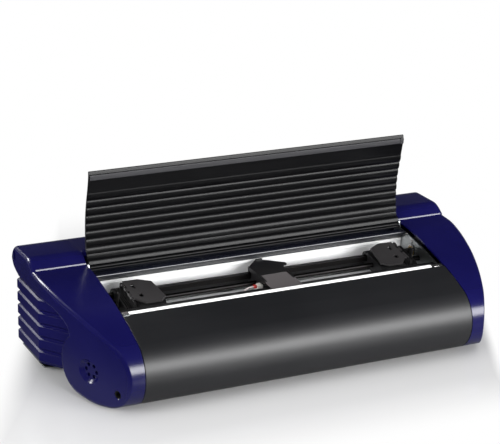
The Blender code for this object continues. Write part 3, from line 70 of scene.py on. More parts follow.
eye = Vector((-0.908, -1.8213, 0.8658))
turn, fall, roll = (math.radians(angle) for angle in (25.842, 18.905, 1.131))
ahead = Vector((math.sin(turn) * math.cos(fall), math.cos(turn) * math.cos(fall),
                -math.sin(fall)))
level = Vector((math.cos(turn), -math.sin(turn), 0.0))
right = level * math.cos(roll) + level.cross(ahead) * math.sin(roll)
above = right.cross(ahead)
film_width, focal_pixels, picture_width = 36.0, 1715.8, 500
lens = bpy.data.cameras.new("photograph_lens")
lens.sensor_width = film_width
lens.lens = film_width * focal_pixels / picture_width
lens.clip_end = 60.0
camera = in_scene("photograph_camera", lens)
axes = Matrix((right, above, -ahead)).transposed().to_4x4()
camera.matrix_world = Matrix.Translation(eye) @ axes
bpy.context.scene.camera = camera
print("focal length in mm:", round(lens.lens, 2))

# %% [markdown]
# A finish is a small network of shader nodes. One class lets Python's own signs stand
# for Math nodes, so that `1 - speckle * 0.3` reads as the sum that it is. Every other
# node comes from one method: the node's kind, its settings, then its inputs.

# %% Shader values that can be added and multiplied
class Value:
    """One output of a shader node; Python's signs add Math nodes after it."""

    def __init__(self, socket):
        self.socket = socket

    def node(self, kind, settings=None, output=0, **inputs):
        tree = self.socket.id_data
        made = tree.nodes.new(kind)
        for name, setting in (settings or {}).items():
            setattr(made, name, setting)
        for name, given in inputs.items():
            key = int(name[1:]) if name[0] == "i" and name[1:].isdigit() else name
            if isinstance(given, Value):
                tree.links.new(given.socket, made.inputs[key])
            else:
                made.inputs[key].default_value = given
        return Value(made.outputs[output])

    def math(self, operation, first, second):
        return self.node("ShaderNodeMath", {"operation": operation}, i0=first, i1=second)

    def __add__(self, other):
        return self.math("ADD", self, other)

    def __radd__(self, other):
        return self.math("ADD", other, self)

    def __sub__(self, other):
        return self.math("SUBTRACT", self, other)

    def __rsub__(self, other):
        return self.math("SUBTRACT", other, self)

    def __mul__(self, other):
        return self.math("MULTIPLY", self, other)

    def __rmul__(self, other):
        return self.math("MULTIPLY", other, self)

    def step(self, low, high):
        """0 below low, 1 above high, and a smooth climb between them."""
        settings = {"interpolation_type": "SMOOTHSTEP", "clamp": True}
        return self.node("ShaderNodeMapRange", settings, Value=self,
                         **{"From Min": low, "From Max": high})

    def noise(self, scale, detail, stretch=(1.0, 1.0, 1.0)):
        place = self.node("ShaderNodeMapping", Vector=self, Scale=stretch)
        return self.node("ShaderNodeTexNoise", Vector=place, Scale=scale, Detail=detail)

    def axis(self, letter):
        return self.node("ShaderNodeSeparateXYZ", output="XYZ".index(letter), Vector=self)


def blend_colour(share, low, high):
    """A colour between two, mixed by a value."""
    return share.node("ShaderNodeMix", {"data_type": "RGBA"}, output=2, i0=share,
                      i6=(*low, 1.0), i7=(*high, 1.0))


print("shader values ready")

# %% [markdown]
# Every finish starts in the same way: a Principled shader, the object coordinates, and
# a bump whose height is small and true to the surface. The constants go straight on the
# shader's own sockets, and only what changes over the surface is linked.

# %% Start a finish and close it
def start_finish(name):
    material = bpy.data.materials.new(name)
    material.use_nodes = True
    tree = material.node_tree
    place = tree.nodes.new("ShaderNodeTexCoord")
    return material, Value(place.outputs["Object"])


def close_finish(material, colour, roughness, height, bump, strength=0.6, **constants):
    """Put the constants on the shader, and link its colour, roughness and bump."""
    tree = material.node_tree
    shader = tree.nodes["Principled BSDF"]
    for name, amount in constants.items():
        shader.inputs[name.replace("_", " ").title().replace("Ior", "IOR")
                      ].default_value = amount
    tree.links.new(colour.socket, shader.inputs["Base Color"])
    tree.links.new(roughness.socket, shader.inputs["Roughness"])
    tilt = height.node("ShaderNodeBump", Height=height, Strength=strength, Distance=bump)
    tree.links.new(tilt.socket, shader.inputs["Normal"])
    return material


def moulded(name, low, high, roughness, grain=1400.0, bump=0.00004, **constants):
    """A moulded plastic: two close tones in soft clouds, and a fine even grain."""
    material, place = start_finish(name)
    tone = place.noise(9.0, 3.0)
    fine = place.noise(grain, 2.0)
    colour = blend_colour(tone.step(0.3, 0.7), low, high)
    dull = roughness + (place.noise(60.0, 4.0) - 0.5) * 0.1
    return close_finish(material, colour, dull, fine, bump, **constants)


def drawn_metal(name, low, high, roughness, stretch=(2.0, 260.0, 260.0), **constants):
    """A metal with the fine lines of rolling or grinding along one axis."""
    material, place = start_finish(name)
    lines = place.noise(12.0, 4.0, stretch)
    cloud = place.noise(14.0, 3.0)
    colour = blend_colour(lines.step(0.2, 0.8), low, high)
    dull = roughness + (lines - 0.5) * 0.16 + (cloud - 0.5) * 0.12
    return close_finish(material, colour, dull, lines, 0.00003, metallic=1.0, **constants)


print("finish helpers ready")

# %% [markdown]
# The end covers and the rear are one indigo moulding colour with a soft gloss. Under
# the gloss the plastic has slow clouds of tone and a faint ripple from the mould, and
# small differences of wear change how sharply it mirrors a lamp. The ribbed wall at the
# rear has the same colour with less gloss.

# %% Indigo moulding
def indigo_moulding(name, gloss, **constants):
    material, place = start_finish(name)
    cloud = place.noise(7.0, 3.0)
    colour = blend_colour(cloud.step(0.3, 0.7), (0.0026, 0.0022, 0.043),
                          (0.0046, 0.004, 0.057))
    ripple = place.noise(420.0, 2.0)
    wear = place.noise(38.0, 5.0)
    dull = gloss + (wear - 0.5) * 0.08
    return close_finish(material, colour, dull, ripple, 0.00005, strength=0.35, ior=1.5,
                        **constants)


indigo = indigo_moulding("indigo_moulding", 0.235)
rib_indigo = indigo_moulding("indigo_ribs", 0.4, specular_ior_level=0.2)
print("finishes:", indigo.name, rib_indigo.name)

# %% [markdown]
# The front cover is a rolled panel with a fine textured charcoal paint. Seen close it
# sparkles a little, from far it spreads a lamp into one broad soft band. Cell noise
# gives the grains, both as height and as tone.

# %% Charcoal texture paint
def charcoal_paint():
    material, place = start_finish("charcoal_paint")
    grains = place.node("ShaderNodeTexVoronoi", Vector=place, Scale=1500.0)
    cloud = place.noise(6.0, 3.0)
    fleck = 1.0 - grains.step(0.05, 0.45)
    tone = cloud.step(0.3, 0.7) * 0.35 + fleck * 0.65
    colour = blend_colour(tone, (0.0055, 0.0058, 0.0072), (0.0135, 0.0138, 0.0158))
    dull = 0.45 + (cloud - 0.5) * 0.06 + fleck * 0.05
    return close_finish(material, colour, dull, grains, 0.0001, strength=0.5, ior=1.62)


charcoal = charcoal_paint()


def extruded_black(name, low, high, roughness, **constants):
    """Black plastic drawn out along its length: faint lines run from end to end."""
    material, place = start_finish(name)
    lines = place.noise(10.0, 3.0, (1.5, 90.0, 90.0))
    fine = place.noise(1200.0, 2.0)
    colour = blend_colour(lines.step(0.25, 0.75), low, high)
    dull = roughness + (lines - 0.5) * 0.1
    return close_finish(material, colour, dull, fine + lines, 0.00004, strength=0.4,
                        **constants)


lid_black = extruded_black("lid_black", (0.0014, 0.0014, 0.0018), (0.0034, 0.0034, 0.004),
                           0.32, specular_ior_level=0.18)
rail_black = extruded_black("rail_black", (0.005, 0.0058, 0.011), (0.0095, 0.011, 0.02),
                            0.26, ior=1.55)
grip_grey = extruded_black("grip_grey", (0.03, 0.03, 0.033), (0.046, 0.0455, 0.05), 0.42)
print("finishes:", charcoal.name, lid_black.name, rail_black.name, grip_grey.name)

# %% [markdown]
# The small parts need few finishes, each made by one of the two recipes above: a black
# plastic, a grey door plastic, white paint on the chute, drawn aluminium, zinc plated
# sheet, bright steel, brass and rubber. The circuit boards get green lacquer with paler
# tracks, which a brick pattern draws well enough at their size.

# %% Finishes for the small parts
black_plastic = moulded("black_plastic", (0.006, 0.006, 0.0065), (0.011, 0.0105, 0.011),
                        0.42)
door_grey = moulded("door_grey", (0.021, 0.0195, 0.0205), (0.03, 0.028, 0.029), 0.5,
                    grain=2200.0, bump=0.00007)
tongue_grey = moulded("tongue_grey", (0.09, 0.082, 0.084), (0.115, 0.106, 0.108), 0.42,
                      grain=2200.0)
rubber = moulded("rubber", (0.009, 0.009, 0.009), (0.015, 0.015, 0.015), 0.8, grain=500.0,
                 bump=0.0002)
chute_white = moulded("chute_white", (0.85, 0.855, 0.86), (0.89, 0.893, 0.896), 0.38,
                      grain=900.0, bump=0.00003)
sensor_white = moulded("sensor_white", (0.48, 0.47, 0.44), (0.56, 0.55, 0.52), 0.4)
cable_red = moulded("cable_red", (0.33, 0.018, 0.016), (0.43, 0.028, 0.024), 0.38)
aluminium = drawn_metal("aluminium", (0.74, 0.745, 0.76), (0.86, 0.865, 0.875), 0.3)
zinc_sheet = drawn_metal("zinc_sheet", (0.34, 0.365, 0.38), (0.46, 0.485, 0.495), 0.36,
                         stretch=(1.0, 8.0, 1.0))
bright_steel = drawn_metal("bright_steel", (0.56, 0.55, 0.54), (0.72, 0.71, 0.7), 0.26)
brass = drawn_metal("brass", (0.62, 0.43, 0.18), (0.74, 0.56, 0.27), 0.3)


def board_lacquer():
    material, place = start_finish("board_green")
    tracks = place.node("ShaderNodeTexBrick", {"offset": 0.35}, output=1, Vector=place,
                        Scale=90.0, i3=(1.0, 1.0, 1.0, 1.0))
    cloud = place.noise(25.0, 3.0)
    tone = tracks * 0.6 + cloud.step(0.3, 0.7) * 0.4
    colour = blend_colour(tone, (0.007, 0.052, 0.02), (0.024, 0.125, 0.048))
    return close_finish(material, colour, 0.35 + cloud * 0.1, tracks, 0.00004)


board_green = board_lacquer()
print("finishes:", len(bpy.data.materials))

# %% [markdown]
# The floor is a sheet of white acrylic. It takes the soft shadow and a faint mirror
# image of the machine, and away from the machine it runs into plain white. The backdrop
# is the world itself, white to the camera. What a glossy surface mirrors is another
# matter: a pale wall low behind the machine, and dark cloth in front and at the sides,
# which keeps the black and the indigo deep.

# %% Floor and world
floor_radius = 14.0
round_fade, front_fade = (0.27, 0.62), (0.18, 0.3)    # metres, from floor to white
right_fade, left_fade = (0.283, 0.3), (0.276, 0.325)
cloth_tone = 0.02


def ray_kinds(tree):
    """Whether a ray comes from the camera, from a mirror, or through something clear."""
    ray = tree.nodes.new("ShaderNodeLightPath")
    return [Value(ray.outputs[f"Is {kind} Ray"])
            for kind in ("Camera", "Glossy", "Transmission")]


def acrylic_floor():
    material, place = start_finish("acrylic_floor")
    tree = material.node_tree
    shader = tree.nodes["Principled BSDF"]
    cloud = place.noise(3.0, 2.0)
    tree.links.new(blend_colour(cloud, (0.64, 0.64, 0.645), (0.67, 0.67, 0.675)).socket,
                   shader.inputs["Base Color"])
    shader.inputs["Roughness"].default_value = 0.16
    far = place.node("ShaderNodeVectorMath", {"operation": "LENGTH"}, output=1, i0=place)
    across = place.node("ShaderNodeVectorMath", {"operation": "DOT_PRODUCT"}, output=1,
                        i0=place, i1=tuple(level))
    ahead = 0.0 - place.axis("Y")
    beside = place.math("MAXIMUM", across.step(*right_fade),
                        (0.0 - across).step(*left_fade))
    away = place.math("MAXIMUM", far.step(*round_fade), beside)
    away = place.math("MAXIMUM", away, ahead.step(*front_fade))
    white = place.node("ShaderNodeEmission", Strength=1.0, Color=(1.0, 1.0, 1.0, 1.0))
    camera_ray, mirrored, clear_ray = ray_kinds(tree)
    cover = 0.58 + far.step(0.28, 0.42) * 0.39
    mixed = place.node("ShaderNodeMixShader", Fac=away * (camera_ray + clear_ray),
                       i1=Value(shader.outputs[0]), i2=white)
    cloth = place.node("ShaderNodeEmission", Strength=cloth_tone, Color=(1.0, 1.0, 1.0, 1.0))
    mixed = place.node("ShaderNodeMixShader", Fac=mirrored * cover, i1=mixed, i2=cloth)
    tree.links.new(mixed.socket, tree.nodes["Material Output"].inputs["Surface"])
    return material


bm = bmesh.new()
bmesh.ops.create_circle(bm, cap_ends=True, segments=64, radius=floor_radius)
mesh = bpy.data.meshes.new("floor")
bm.to_mesh(mesh)
floor = in_scene("floor", mesh)
mesh.materials.append(acrylic_floor())

world = bpy.data.worlds.new("studio")
world.use_nodes = True
bpy.context.scene.world = world
tree = world.node_tree
sky = tree.nodes["Background"]
towards = Value(tree.nodes.new("ShaderNodeTexCoord").outputs["Generated"])
height = towards.axis("Z")
camera_ray, glossy_ray, clear_ray = ray_kinds(tree)
mirror_ray = glossy_ray + clear_ray
behind = towards.axis("Y").step(0.1, 0.7)
mirror_tone = behind * (1.0 - height.step(0.04, 0.27)) * 0.6 + cloth_tone
plain_tone = 0.5
tone = camera_ray + (1.0 - camera_ray) * (mirror_ray * mirror_tone
                                          + (1.0 - mirror_ray) * plain_tone)
tree.links.new(tone.socket, sky.inputs["Strength"])
sky.inputs["Color"].default_value = (1.0, 1.0, 1.0, 1.0)
bpy.context.scene.view_settings.view_transform = "Standard"
print("floor radius:", floor_radius)

# %% [markdown]
# Four soft lamps do the work. A wide one behind the camera's right shoulder draws the
# band along the front cover, and lights the white chute. One above and one at the left
# fill the shadows, and are kept out of the reflections, where they would lay a grey veil
# over every slope. A small one behind the left end is only mirrored: it draws the bright
# line on the covers' rounded edges and throws no shadow forwards.

# %% Lamps
def facing(point, direction):
    """The place and turn of something that stands here with its Z axis this way."""
    turn = Vector(direction).to_track_quat("Z", "Y").to_matrix().to_4x4()
    return Matrix.Translation(Vector(point)) @ turn


def soft_lamp(name, azimuth, elevation, distance, width, tall, brightness):
    """An area lamp aimed at the machine; brightness is what the lamp itself shows."""
    azimuth, elevation = math.radians(azimuth), math.radians(elevation)
    lamp = bpy.data.lights.new(name, "AREA")
    lamp.shape = "RECTANGLE"
    lamp.size, lamp.size_y = width, tall
    lamp.energy = brightness * math.pi * width * tall
    out = Vector((math.sin(azimuth) * math.cos(elevation),
                  math.cos(azimuth) * math.cos(elevation), math.sin(elevation)))
    obj = in_scene(name, lamp)
    aim = Vector((0, 0, 0.1))
    obj.matrix_world = facing(out * distance + aim, out)
    obj.visible_camera = False
    return obj


lamps = [
    soft_lamp("front_lamp", 156, 15, 3.2, 2.6, 1.15, 14.5),
    soft_lamp("top_lamp", 150, 70, 2.6, 1.8, 1.4, 1.6),
    soft_lamp("left_fill_lamp", -105, 20, 2.6, 1.8, 1.2, 8.5),
    soft_lamp("left_rim_lamp", -36, 33, 2.6, 0.9, 0.65, 24.0),
]
lamps[1].visible_glossy = lamps[2].visible_glossy = False
lamps[3].visible_diffuse = False
print("lamps:", [lamp.name for lamp in lamps])

# %% [markdown]
# Most of this machine is drawn out from an outline, so one helper makes a solid from an
# outline in the side view, and another makes a sheet from an open line. A third one turns
# corners of an outline round, with the same bevel that the editor has, and a fourth draws
# a smooth curve through a few points.

# %% Shapes from outlines
def move_drawn(bm, drawn, way):
    """Move the vertices that an extrusion has made."""
    bmesh.ops.translate(bm, vec=way, verts=[item for item in drawn["geom"]
                                            if isinstance(item, bmesh.types.BMVert)])


def drawn_out(points, way):
    """A flat outline of (X, Y, Z) points, drawn out; its normals are still to be set."""
    bm = bmesh.new()
    face = bm.faces.new([bm.verts.new(point) for point in points])
    move_drawn(bm, bmesh.ops.extrude_face_region(bm, geom=[face]), way)
    return bm


def prism(points, way):
    """The same as a solid, with all its faces pointing outwards."""
    bm = drawn_out(points, way)
    bmesh.ops.recalc_face_normals(bm, faces=bm.faces)
    return bm


def solid_from(outline, low, high):
    """A closed outline of (Y, Z) points, drawn out along X from low to high."""
    return prism([(low, y, z) for y, z in outline], (high - low, 0, 0))


def sheet_from(line, low, high):
    """An open line of (Y, Z) points, drawn out along X into a sheet with no wall yet."""
    bm = bmesh.new()
    row = [bm.verts.new((low, y, z)) for y, z in line]
    edges = [bm.edges.new(pair) for pair in zip(row, row[1:])]
    move_drawn(bm, bmesh.ops.extrude_edge_only(bm, edges=edges), (high - low, 0, 0))
    return bm


def round_corners(outline, radii, segments):
    """The outline with the named corners turned round: radii maps a corner to a size."""
    bm = bmesh.new()
    bm.faces.new([bm.verts.new((0, y, z)) for y, z in outline])
    bm.verts.ensure_lookup_table()
    corners = {index: bm.verts[index] for index in radii}
    for index, corner in corners.items():
        bmesh.ops.bevel(bm, geom=[corner], offset=radii[index], segments=segments,
                        profile=0.5, affect="VERTICES", material=-1)
    bm.faces.ensure_lookup_table()
    points = [tuple(loop.vert.co.yz) for loop in bm.faces[0].loops]
    bm.free()
    return points


def arc(centre, radius, start, end, steps):
    """Points of an arc in the side view, in degrees from the +Y direction."""
    turns = [math.radians(start + (end - start) * step / steps) for step in range(steps + 1)]
    return [(centre[0] + radius * math.cos(turn), centre[1] + radius * math.sin(turn))
            for turn in turns]


def curve_mesh(points, resolution, **settings):
    """A smooth curve through the points, turned into a mesh."""
    curve = bpy.data.curves.new("run", "CURVE")
    for name, setting in settings.items():
        setattr(curve, name, setting)
    curve.resolution_u = resolution
    spline = curve.splines.new("BEZIER")
    spline.bezier_points.add(len(points) - 1)
    for knot, point in zip(spline.bezier_points, points):
        knot.co = point
        knot.handle_left_type = knot.handle_right_type = "AUTO"
    holder = in_scene("run", curve)
    drawn = holder.evaluated_get(bpy.context.evaluated_depsgraph_get())
    mesh = bpy.data.meshes.new_from_object(drawn)
    bpy.data.objects.remove(holder)
    bpy.data.curves.remove(curve)
    return mesh


def smooth_run(points, resolution):
    """The same run of (Y, Z) points with a smooth curve drawn through them."""
    mesh = curve_mesh([(y, z, 0.0) for y, z in points], resolution)
    run = [tuple(vert.co.xy) for vert in mesh.vertices]
    bpy.data.meshes.remove(mesh)
    return run


def millimetres(points):
    return [(y / 1000, z / 1000) for y, z in points]


def rounded_solid(points, radii, segments, low, high):
    """A solid from an outline in millimetres, some of its corners turned round."""
    return solid_from(round_corners(millimetres(points), radii, segments), low, high)


print("outline helpers ready")

# %% [markdown]
# A finished piece has its modifiers applied, its edges marked sharp where they turn
# fast, and one place in the assembly: it rides on the body of the solid that it stands
# for. One function does all of that, so no piece can miss a step.

# %% Finish a piece
def evaluated_copy(obj):
    bpy.context.view_layer.update()
    graph = bpy.context.evaluated_depsgraph_get()
    mesh = bpy.data.meshes.new_from_object(obj.evaluated_get(graph))
    obj.modifiers.clear()
    old = obj.data
    obj.data = mesh
    bpy.data.meshes.remove(old)
    return obj


def hold(name, bm):
    """A loose object from a mesh, with its place in its mesh."""
    mesh = bpy.data.meshes.new(name)
    bm.to_mesh(mesh)
    bm.free()
    return in_scene(name, mesh)


def carve(obj, cutter, operation="DIFFERENCE"):
    """Cut, join or keep the overlap with another mesh, and drop that mesh."""
    step = obj.modifiers.new("carve", "BOOLEAN")
    step.operation = operation
    step.solver = "EXACT"
    step.object = cutter
    evaluated_copy(obj)
    bpy.data.objects.remove(cutter)
    return obj


def soften(obj, width, segments=2, angle=28):
    """A small round on every edge that turns faster than the angle."""
    step = obj.modifiers.new("soften", "BEVEL")
    step.width = width
    step.segments = segments
    step.limit_method = "ANGLE"
    step.angle_limit = math.radians(angle)
    step.use_clamp_overlap = True
    return evaluated_copy(obj)


def place_piece(obj, material, node=None, body=None, angle=32):
    """Give a piece its finish, its shading and its place in the assembly."""
    obj.data.materials.clear()
    obj.data.materials.append(material)
    obj.data.shade_smooth()
    obj.data.set_sharp_from_angle(angle=math.radians(angle))
    even = obj.modifiers.new("even", "WEIGHTED_NORMAL")
    even.keep_sharp = True
    even.weight = 60
    evaluated_copy(obj)
    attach(obj, body or body_of[node])
    if node:
        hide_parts(node)
    return obj


def copy_of(node, name):
    """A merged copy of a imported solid, ready for finer edges."""
    bm = bmesh.new()
    bm.from_mesh(frame["nodes"][node].data)
    bmesh.ops.remove_doubles(bm, verts=bm.verts, dist=0.00001)
    bmesh.ops.dissolve_limit(bm, angle_limit=math.radians(0.6), verts=bm.verts,
                             edges=bm.edges)
    bmesh.ops.recalc_face_normals(bm, faces=bm.faces)
    return hold(name, bm)


def soft_copy(node, material, width=0.0004, segments=2):
    """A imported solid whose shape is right, with its edges softened."""
    obj = copy_of(node, f"{node}_finish")
    soften(obj, width, segments)
    return place_piece(obj, material, node)


def rod(start, end, radius, segments=32, end_radius=None):
    """A round bar or cone between two places."""
    start, end = Vector(start), Vector(end)
    bm = bmesh.new()
    bmesh.ops.create_cone(bm, cap_ends=True, segments=segments, radius1=radius,
                          radius2=radius if end_radius is None else end_radius,
                          depth=(end - start).length)
    bmesh.ops.transform(bm, matrix=facing((start + end) / 2, end - start), verts=bm.verts)
    return bm


def block(low, high):
    """A box between two corners."""
    low, high = Vector(low), Vector(high)
    bm = bmesh.new()
    bmesh.ops.create_cube(bm, size=1.0)
    bmesh.ops.scale(bm, vec=high - low, verts=bm.verts)
    bmesh.ops.translate(bm, vec=(low + high) / 2, verts=bm.verts)
    return bm


def merge_near(bm):
    bmesh.ops.remove_doubles(bm, verts=bm.verts, dist=0.000005)
    bmesh.ops.recalc_face_normals(bm, faces=bm.faces)


def turned(profile, segments, matrix):
    """A profile of (radius, height) points in millimetres, spun round the Z axis."""
    bm = bmesh.new()
    row = [bm.verts.new((radius, 0, height)) for radius, height in millimetres(profile)]
    edges = [bm.edges.new(pair) for pair in zip(row, row[1:])]
    bmesh.ops.spin(bm, geom=row + edges, cent=(0, 0, 0), axis=(0, 0, 1),
                   angle=math.tau, steps=segments, use_merge=True)
    merge_near(bm)
    bmesh.ops.transform(bm, matrix=matrix, verts=bm.verts)
    return bm


def join(first, *others):
    """Put several meshes into the first one and hand it back."""
    for other in others:
        mesh = bpy.data.meshes.new("join")
        other.to_mesh(mesh)
        other.free()
        first.from_mesh(mesh)
        bpy.data.meshes.remove(mesh)
    return first


def add_piece(name, meshes, material, body="housing"):
    """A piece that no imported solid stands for, joined from small meshes."""
    return place_piece(hold(name, join(*meshes)), material, body=body)


print("piece helpers ready")

# %% [markdown]
# The side view of the machine is one line: from under the rear over the hump, down a
# small steep step in the crease, along the slope and round the nose. The step is what
# draws the bright line across each cover, because it faces the front lamp. The covers
# and the roll all share the line, so it is written once, and drawn smooth.

# %% The machine's side view
half_width, seam = 0.2935, 0.2225
slope_points = [(55.0, 124.95), (30.0, 123.0), (12.0, 120.2), (-7.0, 116.5), (-23.0, 112.8),
                (-38.5, 109.3), (-54.0, 105.2), (-70.0, 100.5), (-91.0, 93.8)]
nose_middle, nose_round = (-0.0952, 0.0465), 0.0425
slope = smooth_run(millimetres(slope_points + [(-104.0, 88.6)]), 5)
nose = arc(nose_middle, nose_round, 113, 270, 48)[1:]
hump = smooth_run(millimetres([(121.4, 102.6), (129.5, 106.4), (135.4, 112.9),
                               (137.7, 118.8), (136.5, 123.6), (131.0, 132.2),
                               (124.0, 136.3), (117.0, 137.0)]), 5)
hump += millimetres([(79.0, 137.0), (75.0, 136.6), (71.1, 135.4), (67.6, 134.0),
                     (64.2, 132.1), (56.5, 126.75), (55.97, 125.15)])
heel = arc((-0.0565, 0.0425), 0.039, 55, -80, 40)
belly = smooth_run(millimetres([(-101.1, 4.4), (-90.0, 2.6), (-78.0, 1.95),
                                (-63.3, 2.3), (-49.7, 4.1)]), 5)[1:-1]
panel_edge = smooth_run(millimetres([(-33.5, 75.5), (-32.6, 79.8), (-28.2, 85.1),
                                     (-18.9, 90.1), (-3.6, 95.2), (17.2, 97.5),
                                     (32.5, 98.8)]), 5)
cap_nose = arc(nose_middle, nose_round, 113, 262, 46)[1:]
cap_outline = slope[:-1] + cap_nose + belly + heel[::-1] + panel_edge + [(0.11, 0.0988)] + hump
print("outline points:", len(cap_outline))

# %% [markdown]
# An end cover starts as the side outline drawn out to the full width. Its outer rim
# gets a round edge of eight segments, it is sliced so that it can bend, and each slice
# moves in towards the front. The inside is then opened and given its wall.

# %% End covers
bend_start, bend_run, rim_round, cover_wall = 0.035, 0.1727, 0.006, 0.0025


def draw_in(y):
    """How far the side has moved in at this depth."""
    run = max(bend_start - y, 0.0)
    return run * (0.105 + 0.205 * run / bend_run)


def side_out(y):
    """The outward direction of the right side at this depth."""
    lean = (draw_in(y - 0.001) - draw_in(y + 0.001)) / 0.002
    return Vector((1.0, -lean, 0.0)).normalized()


def top_of(y):
    """The height of the slope at this depth."""
    for (y0, z0), (y1, z1) in zip(slope, slope[1:]):
        if y1 <= y <= y0:
            return z0 + (z1 - z0) * (y0 - y) / (y0 - y1)
    return slope[0][1] if y > slope[0][0] else slope[-1][1]


def round_edges(bm, edges, width, segments):
    bmesh.ops.bevel(bm, geom=edges, offset=width, offset_type="OFFSET", segments=segments,
                    profile=0.5, affect="EDGES", material=-1)


def slice_at(bm, y):
    """A cut straight through at this depth, so that the mesh can bend there."""
    bmesh.ops.bisect_plane(bm, geom=bm.verts[:] + bm.edges[:] + bm.faces[:],
                           plane_co=(0, y, 0), plane_no=(0, 1, 0))


def cover_shell():
    """The right cover's outer skin, open inside and under the machine's body."""
    bm = solid_from(cap_outline, seam, half_width)
    rim = [edge for edge in bm.edges
           if all(vert.co.x > half_width - 0.00001 for vert in edge.verts)]
    round_edges(bm, rim, rim_round, 8)
    slices = 30
    for step in range(1, slices):
        slice_at(bm, bend_start - bend_run * step / slices)
    opened = []
    for face in bm.faces:
        middle = face.calc_center_median()
        across = abs(face.normal.x) < 0.01
        under = middle.y > nose_middle[0] and middle.z < top_of(middle.y) - 0.0075
        if middle.y > 0.055:
            under = middle.z < 0.0991
        floor_face = face.normal.z < -0.9 and middle.y < -0.0565
        if middle.x < seam + 0.0003 or (across and under and not floor_face):
            opened.append(face)
    bmesh.ops.delete(bm, geom=opened, context="FACES")
    for vert in bm.verts:
        share = (vert.co.x - seam) / (half_width - seam)
        vert.co.x -= draw_in(vert.co.y) * max(share, 0.0)
    return bm


def to_side(bm, side):
    """The mesh as it is for the right side, or mirrored for the left."""
    if side < 0:
        bmesh.ops.scale(bm, vec=(-1, 1, 1), verts=bm.verts)
        bmesh.ops.reverse_faces(bm, faces=bm.faces)
    return bm


def side_matrix(y, z, side):
    """Where a turned form stands on a side cover, its axis pointing out."""
    out = side_out(y)
    out.x *= side
    return facing((side * (half_width - draw_in(y)), y, z), out)


def give_wall(obj, thickness, offset):
    """Turn a sheet into a wall of even thickness; offset -1 lets it grow inwards."""
    step = obj.modifiers.new("wall", "SOLIDIFY")
    step.thickness = thickness
    step.offset = offset
    step.use_even_offset = True
    return evaluated_copy(obj)


def end_cover(side, name):
    bm = to_side(cover_shell(), side)
    bmesh.ops.recalc_face_normals(bm, faces=bm.faces)
    return give_wall(hold(name, bm), cover_wall, -1.0)


left_cover = end_cover(-1, "left_cover_moulding")
right_cover = end_cover(1, "right_cover_moulding")
print("cover faces:", len(left_cover.data.polygons), len(right_cover.data.polygons))

# %% [markdown]
# The left side holds a sunk cup of six sound holes and, ahead of it, one single hole
# for an ear plug. A turned form gives the cup its round lip and curved wall, first as a
# boss inside the cover and then as the hollow in it. The right side has four key holes.

# %% Cup, holes and rear slots
cup = side_matrix(-0.0725, 0.0412, -1) @ Matrix.Diagonal((1.22, 1.0, 1.0, 1.0))
boss = turned([(0, -7.3), (12.5, -7.3), (16.8, -1.2), (0, -1.2)], 64, cup)
carve(left_cover, hold("cup_boss", boss), "UNION")
bowl = [(0, -4.7), (10, -4.7), (10.6, -4.5), (11.2, -4.1), (14.2, -0.8), (14.7, -0.2),
        (15.4, 0.3), (15.4, 3), (0, 3)]
carve(left_cover, hold("cup_bowl", turned(bowl, 64, cup)))
for index in range(6):
    angle = math.tau * index / 6
    at = cup @ Vector((0.0076 * math.cos(angle), 0.0076 * math.sin(angle), 0.0))
    into = cup.to_3x3() @ Vector((0, 0, 0.012))
    carve(left_cover, hold("sound_hole", rod(at - into, at + into, 0.0025, 24)))


def carve_hole(cover, name, place, radius, lip, fall, rise):
    """A round hole whose mouth widens to a lip; its sizes are in millimetres."""
    cutter = [(0, -9), (radius, -9), (radius, -fall), (lip, rise), (lip, 3), (0, 3)]
    carve(cover, hold(name, turned(cutter, 40, place)))


ear = side_matrix(-0.118, 0.0267, -1)
carve_hole(left_cover, "ear_hole", ear, 5, 5.6, 0.6, 0.2)
key_places = [side_matrix(-0.1 + 0.015 * index, 0.06, 1) for index in range(4)]
for place in key_places:
    carve_hole(right_cover, "key_hole", place, 5.3, 5.7, 0.4, 0.1)
for side, cover in ((-1, left_cover), (1, right_cover)):
    slot = rounded_solid([(119, 118.5), (124, 118.5), (124, 130.5), (119, 130.5)],
                         dict.fromkeys(range(4), 0.002), 6, half_width - 0.005,
                         half_width + 0.002)
    carve(cover, hold("rear_slot", to_side(slot, side)))
place_piece(left_cover, indigo, "left_end_cover", angle=26)
place_piece(right_cover, indigo, "right_end_cover", angle=26)
print("left cover faces:", len(left_cover.data.polygons))

# %% [markdown]
# Between the end covers three long sheets close the machine: the rolled front, the
# rear of the hump, and the ribbed wall below it. The first two are the same side view
# again, as sheets with a wall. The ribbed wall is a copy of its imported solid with
# rounder ribs.

# %% Front roll, hump and ribbed rear
between = 0.2222
start = -0.0646
front_line = [(start, top_of(start))] + [point for point in slope if point[0] < start - 0.001]
front_line = front_line[:-1] + nose + [(-0.0915, 0.004)]


def walled(name, line, low, high, wall, offset, edge=0.0006):
    """A sheet along a line in the side view, with a wall and soft edges."""
    sheet = give_wall(hold(name, sheet_from(line, low, high)), wall, offset)
    return soften(sheet, edge, 3, 50)


front = walled("front_roll", front_line, 0.0005 - between, between - 0.0005,
               cover_wall, 1.0)
place_piece(front, charcoal, "front_cover", angle=24)
hump_line = [(0.1214, 0.0983), (0.1214, 0.1026)] + hump[1:-4] + [(0.068, 0.132),
                                                               (0.068, 0.127)]
rear_hump = walled("rear_hump", hump_line, -between, between, cover_wall, 1.0)
place_piece(rear_hump, indigo, "rear_top_cover", angle=24)
# A black strip behind the hinge is painted shade: it covers the hump's indigo front lip, so
# the gap under the lid reads as black.
add_piece("hinge_shadow_strip", [rounded_solid([
    (62.6, 100.2), (62.6, 125.0), (66.6, 129.0), (66.6, 127.6), (64.2, 124.4),
    (64.2, 100.2)], {0: 0.0004, 1: 0.0006, 2: 0.0004}, 3, -0.2199, 0.2199)],
    rail_black)
ribs = copy_of("rear_cover", "rear_ribs")
soften(ribs, 0.0007, 3, 24)
place_piece(ribs, rib_indigo, "rear_cover", angle=30)
print("front roll points:", len(front_line))

